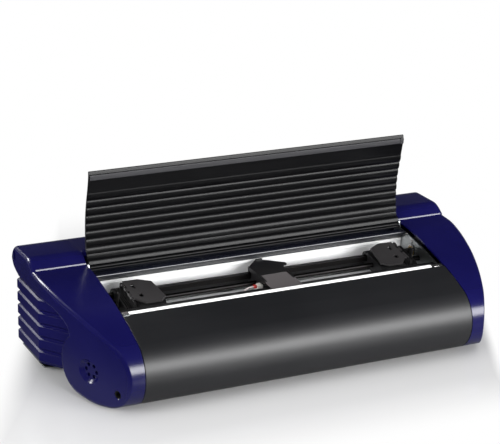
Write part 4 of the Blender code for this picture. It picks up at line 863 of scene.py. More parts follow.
# %% [markdown]
# The lid is one extruded plastic profile. Eight rounded ribs climb its inner face, each
# with its belly low and a long round at the top, which catches the front lamp as a line
# that fades downwards. Over them come a flat band and a grey grip; under them a thin
# bead, a wide rounded band and a lip.

# %% The lid's profile
hinge = Vector((0.0545, 0.1205))
lid_line = smooth_run([(hinge.x + y * 0.126, hinge.y + z * 0.126) for y, z in (
    (0.005, 0.03), (0.03, 0.095), (0.052, 0.17), (0.064, 0.265),
    (0.065, 0.37), (0.055, 0.51), (0.033, 0.63), (0.006, 0.735),
    (-0.015, 0.81), (-0.033, 0.89), (-0.042, 0.95), (-0.043, 1.0))], 10)


def lid_at(height, out=0.0):
    """The point of the lid's inner face at this height, moved out towards the front."""
    for (y0, z0), (y1, z1) in zip(lid_line, lid_line[1:]):
        if height <= z1:
            along = Vector((y1 - y0, z1 - z0))
            point = Vector((y0, z0)) + along * ((height - z0) / along.y)
            along.normalize()
            return point + Vector((-along.y, along.x)) * out
    return Vector(lid_line[-1]) + Vector((-out, 0.0))


def on_lid(points):
    """Points given by height and by how far they stand out, both in millimetres."""
    return [tuple(lid_at(height, out)) for height, out in millimetres(points)]


def lid_profile():
    """The lid's closed outline: lip, band, bead, ribs and tip, then the smooth back."""
    ledges = [136.3, 146.1, 156.3, 166.1, 176.2, 186.2, 196.7, 206.8, 218.0]
    front = millimetres([(52.7, 119), (47.8, 118.8), (47, 119.6), (47.4, 120.4),
                         (50.6, 120.7)])
    front += on_lid([(123.4, 0.8), (123.6, 2.6), (124.2, 3.5), (125.6, 3.7), (127.2, 3.8),
                     (128.6, 3.7), (129.7, 3.2), (130.3, 2.1), (130.7, 0.7), (131.6, 0.2),
                     (134, 0.9), (134.6, 0.9), (135, 0.2)])
    for low, high in zip(ledges, ledges[1:]):
        front += on_lid([(low + (high - low) * share, lift) for share, lift in (
            (0.01, 0.1), (0.05, 0.5), (0.14, 1.0), (0.28, 1.45), (0.44, 1.7),
            (0.58, 1.7), (0.71, 1.55), (0.82, 1.25), (0.9, 0.9), (0.96, 0.5))])
    front += on_lid([(218.4, 0.3), (220, 0.2), (233.8, 0.2), (234.5, 0.3), (234.9, 1),
                     (235.6, 1.3), (241, 1.3), (241.8, 1), (242.1, 0.4), (242.6, 0.1)])
    tip = lid_at(0.2465)
    front += [(tip.x + 0.0001, tip.y - 0.0022), (tip.x + 0.0007, tip.y - 0.0004)]
    back, lid_wall = [], 0.003
    for (y0, z0), (y1, z1) in zip(lid_line, lid_line[1:]):
        along = Vector((y1 - y0, z1 - z0)).normalized()
        back.append(tuple(Vector((y1, z1)) + Vector((along.y, -along.x)) * lid_wall))
    back[-1] = (back[-1][0] - 0.0006, back[-1][1] - 0.0002)
    return front + back[::-1]


lid_half = 0.2201
lid = hold("lid_panel", solid_from(lid_profile(), -lid_half, lid_half))
barrel = hold("lid_barrel", rod((-lid_half + 0.0003, *hinge), (lid_half - 0.0003, *hinge),
                                0.0034, 40))
carve(lid, barrel, "UNION")
for side in (-1, 1):
    carve(lid, hold("pin_bore", rod((side * 0.21, *hinge), (side * 0.23, *hinge),
                                    0.002, 24)))
soften(lid, 0.0002, 2, 40)
place_piece(lid, lid_black, "lid", angle=38)
print("lid faces:", len(lid.data.polygons))

# %% [markdown]
# The grip is a strip of softer grey plastic let into the lid's tip, with a small tab
# at its right end where a thumb lifts it. It is its own piece, so that it can have its
# own finish.

# %% Grip strip and the rail under the hinge
grip_outline = on_lid([(235.1, 0.6), (235.5, 1.6), (238.5, 1.8), (241.5, 1.6), (241.9, 0.6)])
grip = hold("lid_grip", solid_from(grip_outline, -lid_half + 0.0008, lid_half - 0.0052))
tab_outline = on_lid([(234.4, 0.6), (234.8, 1.7), (238.4, 1.9), (242.4, 1.7), (243, 0.6)])
tab = hold("lid_tab", solid_from(tab_outline, lid_half - 0.0048, lid_half - 0.0004))
for piece in (grip, tab):
    soften(piece, 0.0003, 3, 30)
place_piece(grip, grip_grey, body="lid")
place_piece(tab, grip_grey, body="lid")

rail = hold("hinge_rail", rounded_solid([
    (33.0, 115.6), (33.3, 116.6), (35.5, 117.4), (47.4, 116.0), (47.4, 108.8),
    (41.0, 107.2)], {0: 0.0002, 2: 0.0008, 3: 0.0008, 4: 0.001, 5: 0.0005}, 4,
    -0.22, 0.22))
place_piece(rail, rail_black, "lid_hinge_rail", angle=40)
print("grip and rail made")

# %% [markdown]
# Paper enters at the slot in the rear wall, climbs a white sheet chute, crosses a black
# rail and runs over the tractors to the tear bar. The chute is one bent sheet with a
# hemmed top edge, so it is drawn as a line in the side view and given a wall. The rail
# is an extrusion with two fine grooves along its top.

# %% Chute and paper rail
reach = 0.2201
chute_line = millimetres([(44.1, 104.4), (43.2, 104.0), (43.2, 102.0), (43.9, 101.5)])
chute_line += smooth_run(millimetres([(44.1, 98.5), (44.6, 91.0), (45.6, 83.0), (50.5, 67.0),
                                      (61.0, 55.0), (78.0, 49.0), (114.6, 46.0)]), 5)
chute = walled("chute_sheet", chute_line, -reach, reach, 0.0012, -1.0, 0.0003)
place_piece(chute, chute_white, "paper_chute", angle=24)
paper_rail = hold("paper_rail_bar", solid_from(millimetres([
    (23.6, 80.1), (38.4, 80.1), (38.4, 88.4), (34.6, 88.4), (34.3, 87.7), (33.3, 87.7),
    (33.0, 88.4), (28.6, 88.4), (28.3, 87.7), (27.3, 87.7), (27.0, 88.4), (23.6, 88.4)]),
    -reach, reach))
soften(paper_rail, 0.0002, 2, 25)
place_piece(paper_rail, black_plastic, "paper_rail")
print("chute box:", [tuple(round(n, 4) for n in corner) for corner in
                     (min(v.co.yz for v in chute.data.vertices),
                      max(v.co.yz for v in chute.data.vertices))])

# %% [markdown]
# In front of the tractors a pale plate closes the bay, with a black strip along its ledge
# that is painted shade for the dark gap between the plate and the bar. Ahead of that is
# the tear bar, the brightest line in the whole picture: a thin aluminium angle with a
# rounded edge, held by a stepped bracket at the left and by the lid's catch at the right.

# %% Front plate, strip, tear bar, bracket and catch
satin_plate = moulded("satin_plate", (0.84, 0.845, 0.855), (0.9, 0.905, 0.91), 0.34,
                      grain=700.0, bump=0.00003)
# The tear bar's near-white diffuse colour is a painted highlight for the glint of its
# aluminium.
tear_bar_painted_glint = moulded("tear_bar_painted_glint", (0.9, 0.9, 0.9), (0.94, 0.94, 0.94), 0.3,
                         grain=900.0, bump=0.00002, metallic=0.1)
soft_copy("front_paper_plate", satin_plate, 0.0002)
# The black strip on the ledge is painted shade: it stands for the dark gap between the plate
# and the tear bar.
add_piece("ledge_shadow_strip", [rounded_solid([
    (-36.6, 95.2), (-36.6, 97.4), (-51.8, 98.75), (-51.8, 97.8)],
    {1: 0.0005, 2: 0.0003}, 3, -reach, reach)], black_plastic)
bar = hold("tear_bar_angle", rounded_solid([
    (-64.3, 101.3), (-64.3, 102.5), (-60.0, 104.0), (-60.0, 93.1), (-61.3, 93.1),
    (-61.3, 102.2), (-63.2, 101.4)], {0: 0.0002, 1: 0.0004, 2: 0.0004}, 4,
    -0.213, 0.2035))
place_piece(bar, tear_bar_painted_glint, "tear_bar")
add_piece("tear_bar_bracket", [rounded_solid([
    (-66.9, 93.8), (-66.9, 100.2), (-63.4, 101.4), (-62.9, 102.5), (-57.2, 103.2),
    (-56.6, 102.8), (-56.6, 93.8)], {1: 0.0004, 3: 0.0004, 4: 0.0003}, 3,
    -reach, -0.2133)], tongue_grey)
catch = hold("lid_catch_block", rounded_solid([
    (-66.8, 94.1), (-66.8, 99.2), (-65.6, 100.4), (-63.6, 100.8), (-63.0, 101.9),
    (-57.6, 102.5), (-56.9, 101.8), (-56.9, 94.1)],
    {1: 0.0005, 4: 0.0005, 5: 0.0005}, 4, 0.2038, reach))
carve(catch, hold("catch_notch", block((0.2075, -0.064, 0.1004), (0.2165, -0.059, 0.106))))
soften(catch, 0.0003, 2, 30)
place_piece(catch, rubber, "lid_catch")
add_piece("catch_roller", [rod((0.2085, -0.0613, 0.1008), (0.2155, -0.0613, 0.1008),
                               0.001, 24)], bright_steel)
print("bar faces:", len(bar.data.polygons))

# %% [markdown]
# The middle support keeps a wide sheet from sagging. Seen from above its black roof is
# an arrowhead: a blunt point at the rear with a small nub, and two wings that sweep
# forward. Walls at both sides hold it on the two shafts, and a flat grey tongue leads
# the paper on to the bar.

# %% Middle support
def roof_height(x, y):
    """The roof climbs to its middle and falls off at its left and towards the rear."""
    rise = 0.1048 + 0.002 * min(max((y + 0.012) / 0.024, 0.0), 1.0) ** 0.7
    return rise - max(-0.01 - x, 0.0) * 0.12 - max(y - 0.014, 0.0) * 0.03


def raised_sheet(name, plan, wall, height_at, slices):
    """A sheet with this outline from above, its top at a height given by a rule."""
    bm = drawn_out([(x, y, 0.0) for x, y in plan], (0, 0, wall))
    low, high = min(y for x, y in plan), max(y for x, y in plan)
    for step in range(1, slices):
        slice_at(bm, low + (high - low) * step / slices)
    for vert in bm.verts:
        vert.co.z += height_at(vert.co.x, vert.co.y) - wall
    bmesh.ops.recalc_face_normals(bm, faces=bm.faces)
    return hold(name, bm)


roof_plan = round_corners([(-0.018, -0.012), (-0.018, 0.013), (-0.0188, 0.0165),
                           (-0.001, 0.0355), (0.0045, 0.0378), (0.0125, 0.0318),
                           (0.0315, 0.0135), (0.0318, 0.0085), (0.024, 0.006),
                           (0.024, -0.012)],
                          {3: 0.0015, 4: 0.0012, 5: 0.0015, 6: 0.001, 7: 0.0012}, 3)
support = raised_sheet("middle_support_roof", roof_plan, 0.002, roof_height, 10)
hub = solid_from(millimetres([(-12.0, 83.2), (21.6, 87.0), (21.6, 104.8), (0.0, 104.4),
                              (-11.5, 103.4), (-12.2, 96.0)]), -0.0165, 0.0225)
carve(support, hold("support_hub", hub), "UNION")
for low in (-0.018, 0.0217):
    cheek = rounded_solid([
        (-31.0, 99.2), (-31.0, 103.0), (-11.0, 105.2), (20.0, 105.2), (20.0, 86.0),
        (-10.0, 83.6), (-14.0, 96.5)], {0: 0.001, 1: 0.001}, 3, low, low + 0.0023)
    carve(support, hold("support_cheek", cheek), "UNION")
carve(support, hold("support_nub", block((0.0, 0.0325, 0.105), (0.0085, 0.0362, 0.108))),
      "UNION")
drive_axis, guide_axis = (0.01501, 0.0955), (-0.003624, 0.091776)
for name, axis, radius, segments in (("drive_hole", drive_axis, 0.0053, 40),
                                     ("guide_hole", guide_axis, 0.0033, 32)):
    carve(support, hold(name, rod((-0.03, *axis), (0.04, *axis), radius, segments)))
soften(support, 0.0003, 2, 30)
place_piece(support, black_plastic, "middle_support", angle=26)


def tongue_height(_, y):
    """The tongue slopes evenly from the saddle down to the bar."""
    return 0.1045 + (y + 0.0044) / 0.0516 * 0.0037


tongue_plan = [(-0.0154, -0.0056), (-0.0154, -0.0314), (-0.018, -0.032),
               (-0.018, -0.056), (0.024, -0.056), (0.024, -0.032),
               (0.0214, -0.0314), (0.0214, -0.0056)]
tongue = raised_sheet("paper_tongue", tongue_plan, 0.0018, tongue_height, 3)
soften(tongue, 0.0004, 3, 30)
place_piece(tongue, tongue_grey, "middle_support_tongue")
print("support faces:", len(support.data.polygons))

# %% [markdown]
# A small white sensor stands at the support's left edge and looks up at the paper. A red
# plug sits on its left side. Its two thin leads slope down to the plate and leave
# through a hole. A lead is a tube along a smooth curve, turned into a mesh.

# %% Sensor, plug and leads
def tube(points, radius):
    """A round lead through the points, closed at both ends."""
    mesh = curve_mesh(points, 6, dimensions="3D", bevel_depth=radius,
                      bevel_resolution=4, use_fill_caps=True)
    bm = bmesh.new()
    bm.from_mesh(mesh)
    bpy.data.meshes.remove(mesh)
    merge_near(bm)
    return bm


sensor = hold("sensor_body", block((-0.0238, -0.0208, 0.0752), (-0.016, -0.0144, 0.0948)))
carve(sensor, hold("sensor_eye", block((-0.0226, -0.02, 0.0935), (-0.0184, -0.0152, 0.0962))),
      "UNION")
carve(sensor, hold("sensor_window", rod((-0.0205, -0.0176, 0.0952), (-0.0205, -0.0176, 0.097),
                                        0.0014, 20)))
soften(sensor, 0.0004, 3, 30)
place_piece(sensor, sensor_white, "paper_sensor")
plug = hold("sensor_plug", block((-0.0276, -0.02, 0.0912), (-0.024, -0.0152, 0.0948)))
soften(plug, 0.0005, 3, 30)
place_piece(plug, cable_red, body="housing")
lead_path = [(-27.2, -17.6, 93.0), (-36.0, -18.2, 92.2), (-45.0, -20.6, 87.0),
             (-54.0, -24.0, 79.2), (-62.0, -25.6, 76.4), (-85.0, -26.4, 76.0),
             (-104.0, -27.6, 76.0), (-122.0, -28.0, 76.0), (-126.8, -28.0, 75.2),
             (-128.0, -28.0, 72.0), (-128.0, -28.0, 40.0), (-128.0, -28.0, 15.2)]
lead_radius, lead_spacing = 0.0005, 0.0012
strands = [tube([(x / 1000, y / 1000 + side * lead_spacing / 2, z / 1000)
                 for x, y, z in lead_path], lead_radius) for side in (-1, 1)]
leads = hold("sensor_leads", join(*strands))
lead_grey = moulded("lead_grey", (0.52, 0.46, 0.45), (0.64, 0.58, 0.56), 0.4)
place_piece(leads, lead_grey, "sensor_lead")
print("lead faces:", len(leads.data.polygons))

# %% [markdown]
# Steel side plates stand inside the end covers and carry both shafts. Each gets its
# screws, as small pan heads with a sunk socket, and a bearing for the square shaft: a
# bright flange round a brass inner ring. A bearing is a turned form, so its profile is
# spun round an axis.

# %% Side plates, screws and bearings
plate_steel = drawn_metal("plate_steel", (0.54, 0.57, 0.58), (0.68, 0.71, 0.715), 0.42,
                          stretch=(1.0, 6.0, 90.0))
oxide_steel = drawn_metal("oxide_steel", (0.015, 0.014, 0.0145), (0.03, 0.028, 0.028), 0.38,
                          ior=1.5)


def pan_head(radius, height):
    """A screw head standing on the Z axis, with a round edge and a sunk socket."""
    bm = bmesh.new()
    bmesh.ops.create_cone(bm, cap_ends=True, segments=24, radius1=radius, radius2=radius,
                          depth=height)
    bmesh.ops.translate(bm, vec=(0, 0, height / 2), verts=bm.verts)
    rim = [edge for edge in bm.edges if all(vert.co.z > height * 0.9 for vert in edge.verts)]
    round_edges(bm, rim, height * 0.45, 3)
    top = max(bm.faces, key=lambda face: face.calc_center_median().z + face.calc_area())
    bmesh.ops.inset_region(bm, faces=[top], thickness=radius * 0.42)
    drawn = bmesh.ops.extrude_face_region(bm, geom=[top])
    bmesh.ops.delete(bm, geom=[top], context="FACES_ONLY")
    move_drawn(bm, drawn, (0, 0, -height * 0.45))
    return bm


def screws(name, places, direction, radius, height, body="housing"):
    """A row of screw heads as one piece."""
    heads = []
    for place in places:
        head = pan_head(radius, height)
        bmesh.ops.transform(head, matrix=facing(place, direction), verts=head.verts)
        heads.append(head)
    return add_piece(name, heads, bright_steel, body)


for side, word in ((-1, "left"), (1, "right")):
    soft_copy(f"{word}_side_plate", plate_steel, 0.0002)
    inner = side * 0.2204
    screws(f"{word}_plate_screws", [(inner, 0.015, 0.109), (inner, 0.03, 0.115),
                                    (inner, -0.045, 0.062), (inner, 0.09, 0.07)],
           (-side, 0, 0), 0.0019, 0.0011)
    seat = facing((side * reach, *drive_axis), (-side, 0, 0))
    flange = turned([(6.8, -1.2), (8, -1.2), (8, 0), (9.4, 0), (9.5, 0.5), (9.2, 0.8),
                     (7.4, 0.8), (7.2, 0.4), (6.8, 0.4), (6.8, -1.2)], 56, seat)
    race = turned([(5.3, -2), (6.6, -2), (6.7, 0.9), (6.5, 1.2), (5.5, 1.2), (5.3, 1),
                   (5.3, -2)], 56, seat)
    place_piece(hold(f"{word}_bearing_flange", flange), bright_steel,
                f"{word}_shaft_bearing")
    add_piece(f"{word}_bearing_race", [race], brass)
print("plates and bearings placed")

# %% [markdown]
# Both tractors are mirror images. Each has a frame with fins on its outer side, an
# endless belt with cone tipped pins that fit the holes along the paper's edge, and a
# door that presses the paper on to the pins. The belt is a stadium outline drawn out,
# and its pins follow the belt's path at the pitch of the paper.

# %% Tractor measures
slope_share, idler_back = 0.2, 0.038
belt_outer, belt_inner, pin_pitch = 0.0092, 0.008, 0.01267


def slope_point(back, lift=0.0):
    """(Y, Z) at a distance in front of the drive shaft, along the tractors' slope."""
    length = math.hypot(1.0, slope_share)
    return (drive_axis[0] - back / length - lift * slope_share / length,
            drive_axis[1] - back * slope_share / length + lift / length)


def stadium(radius, steps=20):
    """The outline of a belt round the drive sprocket and the front idler."""
    lean = math.degrees(math.atan(slope_share))
    return (arc(drive_axis, radius, lean - 90, lean + 90, steps)
            + arc(slope_point(idler_back), radius, lean + 90, lean + 270, steps))


def belt_place(distance, radius):
    """Where a pin stands, its foot and its tip, at a distance along the belt."""
    half_turn = math.pi * radius
    if distance < idler_back:
        return slope_point(distance, radius - 0.0008), slope_point(distance, radius + 0.0016)
    if distance < idler_back + half_turn:
        angle = math.atan(slope_share) + math.pi / 2 + (distance - idler_back) / radius
        middle = Vector(slope_point(idler_back))
        out = Vector((math.cos(angle), math.sin(angle)))
        return middle + out * (radius - 0.0008), middle + out * (radius + 0.0016)
    back = 2 * idler_back + half_turn - distance
    return slope_point(back, -radius + 0.0008), slope_point(back, -radius - 0.0016)


print("belt length:", round(2 * idler_back + math.tau * belt_outer, 4))

# %% Tractor belts, frames, doors and levers
def pin_belt(side, word):
    """An endless belt with seven cone tipped pins outside and small teeth inside."""
    low, high = sorted((side * 0.175, side * 0.185))
    belt = hold(f"{word}_pin_belt", solid_from(stadium(belt_outer), low, high))
    inside = hold("belt_inside", solid_from(stadium(belt_inner), low - 0.001, high + 0.001))
    carve(belt, inside)
    teeth = []
    for index in range(11):
        foot = belt_place(0.0063 + pin_pitch * index * 0.5, belt_inner)[0]
        teeth.append(rod((side * 0.1765, *foot), (side * 0.1835, *foot), 0.0005, 6))
    pins = []
    for index in range(7):
        foot, tip = belt_place(0.00633 + pin_pitch * index, belt_outer)
        middle = Vector(foot).lerp(Vector(tip), 0.62)
        pins.append(rod((side * 0.18, *foot), (side * 0.18, *middle), 0.0011, 14))
        pins.append(rod((side * 0.18, *middle), (side * 0.18, *tip), 0.0011, 14, 0.0006))
    whole = bmesh.new()
    whole.from_mesh(belt.data)
    bpy.data.objects.remove(belt)
    return place_piece(hold(f"{word}_pin_belt", join(whole, *teeth, *pins)), black_plastic,
                       f"{word}_tractor_pin_belt")


def slope_prism(side, plan, low, high):
    """A prism on the tractors' slope; plan is (from the middle, forwards) in mm."""
    rise = Vector(slope_point(0.0, high)) - Vector(slope_point(0.0, low))
    return prism([(side * x / 1000, *slope_point(back / 1000, low)) for x, back in plan],
                 (0, *rise))


def finned_frame(side, word):
    """The frame: fins cut round its outer side, and its rear inner corner cut off."""
    frame_piece = copy_of(f"{word}_tractor_frame", f"{word}_tractor_body")
    outer, inner = [], []
    for low in (0.1868, 0.1957, 0.1982, 0.2007):
        a, b = sorted((side * low, side * (low + 0.0013)))
        outer.append(solid_from(stadium(0.0112, 12), a, b))
        inner.append(solid_from(stadium(0.0068, 12), a - 0.0002, b + 0.0002))
    rings = carve(hold("fin_rings", join(*outer)), hold("fin_cores", join(*inner)))
    carve(frame_piece, rings)
    corner = [(176.0, -9.6), (154.6, 2.0), (146.0, 2.0), (146.0, -16.0), (176.0, -16.0)]
    carve(frame_piece, hold("corner_cut", slope_prism(side, corner, 0.0068, 0.02)))
    soften(frame_piece, 0.0003, 2, 34)
    return place_piece(frame_piece, black_plastic, f"{word}_tractor_frame", angle=28)


def tractor_door(side, word):
    """The door: two corners cut off, two slots and two hinge windows."""
    door = copy_of(f"{word}_tractor_door", f"{word}_door_leaf")
    cuts = [[(176.0, -9.6), (154.6, 2.0), (150.1, 38.0), (146.0, 38.0), (146.0, -16.0),
             (176.0, -16.0)],
            [(178.0, 47.0), (188.8, 34.5), (199.0, 34.5), (199.0, 54.0), (178.0, 54.0)]]
    cuts += [[(x - 2.3, back), (x + 2.3, back), (x + 2.3, back + 8.6), (x - 2.3, back + 8.6)]
             for x, back in ((181.0, 1.6), (178.0, 24.5))]
    cuts += [[(189.6, back), (199.2, back), (199.2, back + 7.0), (189.6, back + 7.0)]
             for back in (3.0, 15.5)]
    for plan in cuts:
        carve(door, hold("door_cut", slope_prism(side, plan, 0.0095, 0.018)))
    soften(door, 0.0004, 3, 30)
    return place_piece(door, door_grey, f"{word}_tractor_door", angle=30)


for side, word in ((-1, "left"), (1, "right")):
    pin_belt(side, word)
    finned_frame(side, word)
    tractor_door(side, word)
    soft_copy(f"{word}_tractor_lock_lever", black_plastic, 0.0005, 3)
    soft_copy(f"{word}_tractor_sprocket", bright_steel, 0.0004)
    screws(f"{word}_tractor_screws",
           [(side * 0.204, *slope_point(0.0415, 0.0042)),
            (side * 0.204, *slope_point(0.0415, -0.0042))],
           (side, 0, 0), 0.0017, 0.0009, f"{word}_tractor")
soft_copy("tractor_drive_shaft", oxide_steel, 0.0004, 3)
guide = hold("guide_rod", rod((-0.2221, *guide_axis), (0.2221, *guide_axis), 0.003, 48))
soften(guide, 0.0003, 2, 50)
place_piece(guide, oxide_steel, "tractor_guide_shaft")

# %% [markdown]
# Under the machine stand four round rubber feet, each a moulded disc with a hollow for
# its screw. They carry a folded sheet tray, and the tray carries the circuit board, the
# power supply and the two side plates.

# %% Feet and tray
for node in ("front_left_foot", "front_right_foot", "rear_left_foot", "rear_right_foot"):
    low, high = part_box(node)
    at = Matrix.Translation(((low.x + high.x) / 2, (low.y + high.y) / 2, 0.0))
    foot = hold(f"{node}_disc", turned([
        (0, 1.8), (3, 1.8), (3.4, 1.4), (3.6, 0.3), (4.1, 0), (8.4, 0), (9.3, 0.4),
        (9.8, 1.3), (10, 2.2), (9.6, 6.2), (0, 6.2)], 48, at))
    place_piece(foot, rubber, node)
soft_copy("base_tray", zinc_sheet, 0.0003)
low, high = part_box("base_tray")
screws("tray_screws", [(x, y, low.z) for x in (-0.19, 0.19) for y in (-0.01, 0.04)],
       (0, 0, -1), 0.0026, 0.0013)
print("tray box:", [round(n, 4) for n in (*low, *high)])

# %% [markdown]
# The electronics are a board and a closed supply. The board carries ribbed heat sinks on
# its four chips, electrolytic cans and pin headers. The supply is a sheet cage with rows
# of round vent holes, which are cut from it.

# %% Board and power supply
def rounded(low, high, width, segments=2):
    """A box with a small round on all its edges."""
    bm = block(low, high)
    round_edges(bm, bm.edges[:], width, segments)
    return bm


soft_copy("main_board", board_green, 0.0002)
low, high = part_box("main_board")
top = low.z + 0.0016
sinks, cans, headers, pins = [], [], [], []
for share in (-0.7, -0.2, 0.25, 0.7):
    for fin in range(6):
        x = share * 0.15 - 0.008 + fin * 0.0032
        sinks.append(rounded((x - 0.0005, -0.017, high.z),
                             (x + 0.0005, -0.001, high.z + 0.005), 0.0002))
for x, y in ((-0.135, 0.018), (-0.085, 0.02), (-0.02, 0.018), (0.075, 0.02)):
    can = Matrix.Translation((x, y, top))
    cans.append(turned([(0, 0), (3.8, 0), (4, 0.3), (4, 0.9), (3.7, 1.2), (4, 1.5),
                        (4, 8.8), (3.6, 9.3), (3, 9.3), (2.8, 9), (0, 9)], 32, can))
for x in (-0.055, 0.01, 0.115):
    headers.append(rounded((x - 0.011, -0.048, top), (x + 0.011, -0.04, top + 0.006),
                           0.0004))
    for pin in range(8):
        middle = x - 0.0088 + pin * 0.00254
        pins.append(rod((middle, -0.044, top + 0.005), (middle, -0.044, top + 0.0082),
                        0.00032, 8))
add_piece("chip_heat_sinks", sinks, aluminium)
add_piece("board_cans", cans, black_plastic)
add_piece("board_headers", headers, sensor_white)
add_piece("header_pins", pins, brass)

cage = copy_of("power_supply", "power_supply_cage")
low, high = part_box("power_supply")
holes = [rod((x, y, high.z - 0.001), (x, y, high.z + 0.002), 0.0017, 12)
         for x in (low.x + 0.009 + column * 0.0064 for column in range(6))
         for y in (low.y + 0.008 + row * 0.0072 for row in range(8))]
carve(cage, hold("vent_holes", join(*holes)))
soften(cage, 0.0004, 2, 40)
place_piece(cage, zinc_sheet, "power_supply", angle=40)
print("board and supply pieces placed")

# %% [markdown]
# The connector plate sits in the rear wall. Its two sockets have their contacts: a
# tongue with four strips in the small one, and a contact block with two rows of pins in
# the wide one. The mains inlet gets three blades. The rocker's marks are raised, a bar
# for on and a ring for off, and they move with it.

# %% Connector plate, inlet and switch
soft_copy("connector_plate", zinc_sheet, 0.0003)
low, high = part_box("connector_plate")
back, middle_z = high.y, (low.z + high.z) / 2
sheet_face = back - 0.002
screws("connector_plate_screws",
       [(x, sheet_face, z) for x in (low.x + 0.0045, high.x - 0.0045)
        for z in (low.z + 0.0045, high.z - 0.0045)], (0, 1, 0), 0.002, 0.0011)
screws("port_jack_screws", [(-0.1215, sheet_face, middle_z)], (0, 1, 0), 0.0024, 0.003)
tongue = rounded((-0.131, back - 0.0085, middle_z + 0.0004),
                 (-0.1246, back - 0.0012, middle_z + 0.0026), 0.0003)
insert = rounded((-0.1145, back - 0.0095, middle_z - 0.0016),
                 (-0.0815, back - 0.0016, middle_z + 0.0016), 0.0005)
add_piece("socket_inserts", [tongue, insert], black_plastic)
contacts = [block((-0.1303 + index * 0.0015, back - 0.008, middle_z + 0.00025),
                  (-0.1296 + index * 0.0015, back - 0.0016, middle_z + 0.00045))
            for index in range(4)]
for index in range(18):
    x = -0.1126 + index * 0.00171
    for side in (-1, 1):
        z = middle_z + side * 0.0017
        contacts.append(block((x - 0.0003, back - 0.009, z - 0.00015),
                              (x + 0.0003, back - 0.0022, z + 0.00015)))
add_piece("socket_contacts", contacts, brass)

soft_copy("power_inlet", black_plastic, 0.0007, 3)
low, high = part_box("power_inlet")
blades = [rounded((x - 0.001, low.y + 0.001, middle_z + z - 0.0022),
                  (x + 0.001, high.y - 0.0012, middle_z + z + 0.0022), 0.0003)
          for x, z in ((-0.192, -0.0015), (-0.185, 0.002), (-0.178, -0.0015))]
add_piece("inlet_blades", blades, bright_steel)

soft_copy("power_switch", black_plastic, 0.0004, 3)
faces = [face for face in frame["nodes"]["power_switch"].data.polygons
         if face.normal.y > 0.8]
marks = []
for face in faces:
    out = face.normal
    at = facing(face.center, out)
    if face.center.z > middle_z:
        bar = block((-0.0004, -0.0019, -0.0002), (0.0004, 0.0019, 0.0002))
        bmesh.ops.transform(bar, matrix=at, verts=bar.verts)
        marks.append(bar)
    else:
        marks.append(turned([(1.3, -0.2), (2, -0.2), (2, 0.2), (1.3, 0.2),
                             (1.3, -0.2)], 32, at))
add_piece("switch_marks", marks, sensor_white, "power_switch")
print("rocker faces:", len(faces))

# %% [markdown]
# The ear socket and the four keys sit in the side covers. A key is a turned button with
# a rounded edge and a slightly hollow top for the finger, and it moves on its own.

# %% Ear socket, keys and key board
socket = hold("ear_socket_body", turned([
    (0, -12), (4.4, -12), (4.7, -11.6), (4.8, -1), (4.7, -0.5), (4.4, -0.4), (4, -0.7),
    (3.8, -1.4), (3.6, -8), (2, -8.4), (1.8, -11), (0, -11)], 40, ear))
place_piece(socket, black_plastic, "ear_socket")
soft_copy("key_board", board_green, 0.0002)
for number, place in enumerate(key_places, 1):
    button = hold(f"key_button_{number}", turned([
        (0, -2.5), (4.4, -2.5), (4.8, -2.2), (4.7, 0.9), (4.5, 1.7), (3.9, 2.1), (3, 2),
        (1.6, 1.6), (0, 1.5)], 40, place))
    place_piece(button, door_grey, f"key_{number}")
print("keys and ear socket placed")

# %% [markdown]
# The feed motor turns a small brass pinion, which drives the large gear on the square
# shaft. A motor is a stack of thin sheets between two cast end bells, so it is three
# pieces, with fine grooves for the stack, and the feed motor has a screw in each corner.

# %% Motors and gears
def stepper(node, axis):
    """A square motor: a grooved stack between two bells."""
    low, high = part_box(node)
    if node == "carriage_motor":
        low.y = high.y - 0.024
    length = high[axis] - low[axis]
    bells, stack = [], []
    for start, end in ((0.0, 0.2), (0.8, 1.0)):
        a, b = low.copy(), high.copy()
        a[axis], b[axis] = low[axis] + length * start, low[axis] + length * end
        bells.append(rounded(a, b, 0.0016, 3))
    count, set_in = 7, Vector((0.0006,) * 3)
    for layer in range(count):
        a, b = low + set_in, high - set_in
        a[axis] = low[axis] + length * (0.205 + 0.59 * layer / count)
        b[axis] = low[axis] + length * (0.2 + 0.59 * (layer + 1) / count)
        stack.append(rounded(a, b, 0.0003))
    add_piece(f"{node}_bells", bells, aluminium)
    return place_piece(hold(f"{node}_stack", join(*stack)), black_plastic, node)


stepper("feed_motor", 0)
low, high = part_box("feed_motor")
screws("feed_motor_screws", [(low.x, y, z) for y in (low.y + 0.004, high.y - 0.004)
                             for z in (low.z + 0.004, high.z - 0.004)], (-1, 0, 0),
       0.0017, 0.0009)
soft_copy("drive_gear", door_grey, 0.0002)
soft_copy("feed_pinion", brass, 0.00012)
gear_low, gear_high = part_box("drive_gear")
hub = turned([(6.2, -0.2), (8.6, -0.2), (8.8, 0), (8.6, 0.6), (6.4, 0.6), (6.2, 0.4),
              (6.2, -0.2)], 48, facing((gear_high.x, *drive_axis), (1, 0, 0)))
add_piece("drive_gear_hub", [hub], brass, "drive_train")
print("gear width:", round(gear_high.x - gear_low.x, 4))

# %% [markdown]
# The embossing unit runs behind the front cover. Its carriage slides on two ground rods
# in brass bushes, and a toothed belt pulls it along. The head's eight pins press the
# paper against the anvil bar, and each pin has its own small coil can behind it.

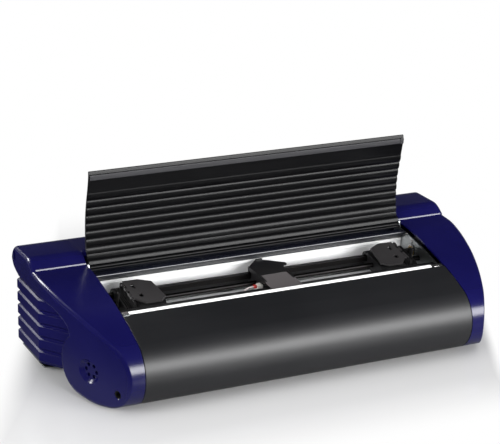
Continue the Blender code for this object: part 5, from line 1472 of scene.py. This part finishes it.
# %% Rods, anvil and belt
rods_y = -0.1
for node in ("lower_carriage_rod", "upper_carriage_rod"):
    low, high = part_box(node)
    axis = rods_y, (low.z + high.z) / 2
    rail_rod = hold(f"{node}_ground", rod((low.x, *axis), (high.x, *axis), 0.003, 48))
    soften(rail_rod, 0.0004, 3, 50)
    place_piece(rail_rod, bright_steel, node)
soft_copy("anvil_bar", zinc_sheet, 0.0005, 3)
low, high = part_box("anvil_bar")
screws("anvil_screws", [(x, high.y, low.z + 0.008) for x in (-0.21, -0.07, 0.07, 0.21)],
       (0, 1, 0), 0.0024, 0.0014)
soft_copy("carriage_belt", rubber, 0.0002)
low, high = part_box("carriage_belt")
middle_z, pulley_x = (low.z + high.z) / 2, 0.202
teeth = []
for index in range(80):
    x = -0.1975 + index * 0.005
    for side in (-1, 1):
        z = middle_z + side * 0.0074
        teeth.append(block((x - 0.0008, low.y + 0.0002, z - 0.00045),
                           (x + 0.0008, high.y - 0.0002, z + 0.00045)))
add_piece("belt_teeth", teeth, rubber)
for side, node, body in ((-1, "carriage_drive_pulley", "drive_pulley"),
                         (1, "carriage_idler_pulley", "idler_pulley")):
    at = facing((side * pulley_x, (low.y + high.y) / 2, middle_z), (0, 1, 0))
    wheel = turned([(2.1, -3.7), (8.4, -3.7), (8.6, -3.5), (8.4, -3.1), (7.4, -3), (7.4, 3),
                    (8.4, 3.1), (8.6, 3.5), (8.4, 3.7), (4, 3.7), (3.8, 3.4), (2.1, 3.4),
                    (2.1, -3.7)], 56, at)
    place_piece(hold(f"{node}_wheel", wheel), aluminium, node)
stepper("carriage_motor", 1)
motor_shaft = rod((-pulley_x, low.y, middle_z), (-pulley_x, -0.111, middle_z), 0.0018, 24)
add_piece("carriage_motor_shaft", [motor_shaft], bright_steel)
print("belt teeth:", len(teeth))

# %% Carriage and embossing head
soft_copy("carriage", black_plastic, 0.001, 3)
soft_copy("embossing_head", zinc_sheet, 0.0002)
low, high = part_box("carriage")
bushes = []
for z in (0.024, 0.072):
    for x, way in ((low.x, -1), (high.x, 1)):
        bushes.append(turned([(3.1, -0.2), (4.8, -0.2), (4.8, 0.8), (4.5, 1.2), (3.4, 1.2),
                              (3.1, 0.9), (3.1, -0.2)], 40,
                             facing((x, rods_y, z), (way, 0, 0))))
add_piece("carriage_bushes", bushes, brass, "carriage")
cans = []
for row in range(4):
    z = 0.03 + 0.0068 * (row + 1)
    for across in (-0.02, -0.011):
        at = facing((-0.156 + across, low.y, z), (0, -1, 0))
        cans.append(turned([(0, -0.2), (3, -0.2), (3, 5.2), (2.6, 5.6), (1.2, 5.6),
                            (1, 6.6), (0, 6.6)], 24, at))
add_piece("coil_cans", cans, bright_steel, "carriage")
screws("head_screws", [(x, high.y, z) for x in (low.x + 0.005, high.x - 0.005)
                       for z in (0.036, 0.06)], (0, 1, 0), 0.0018, 0.001, "carriage")
print("carriage pieces placed")
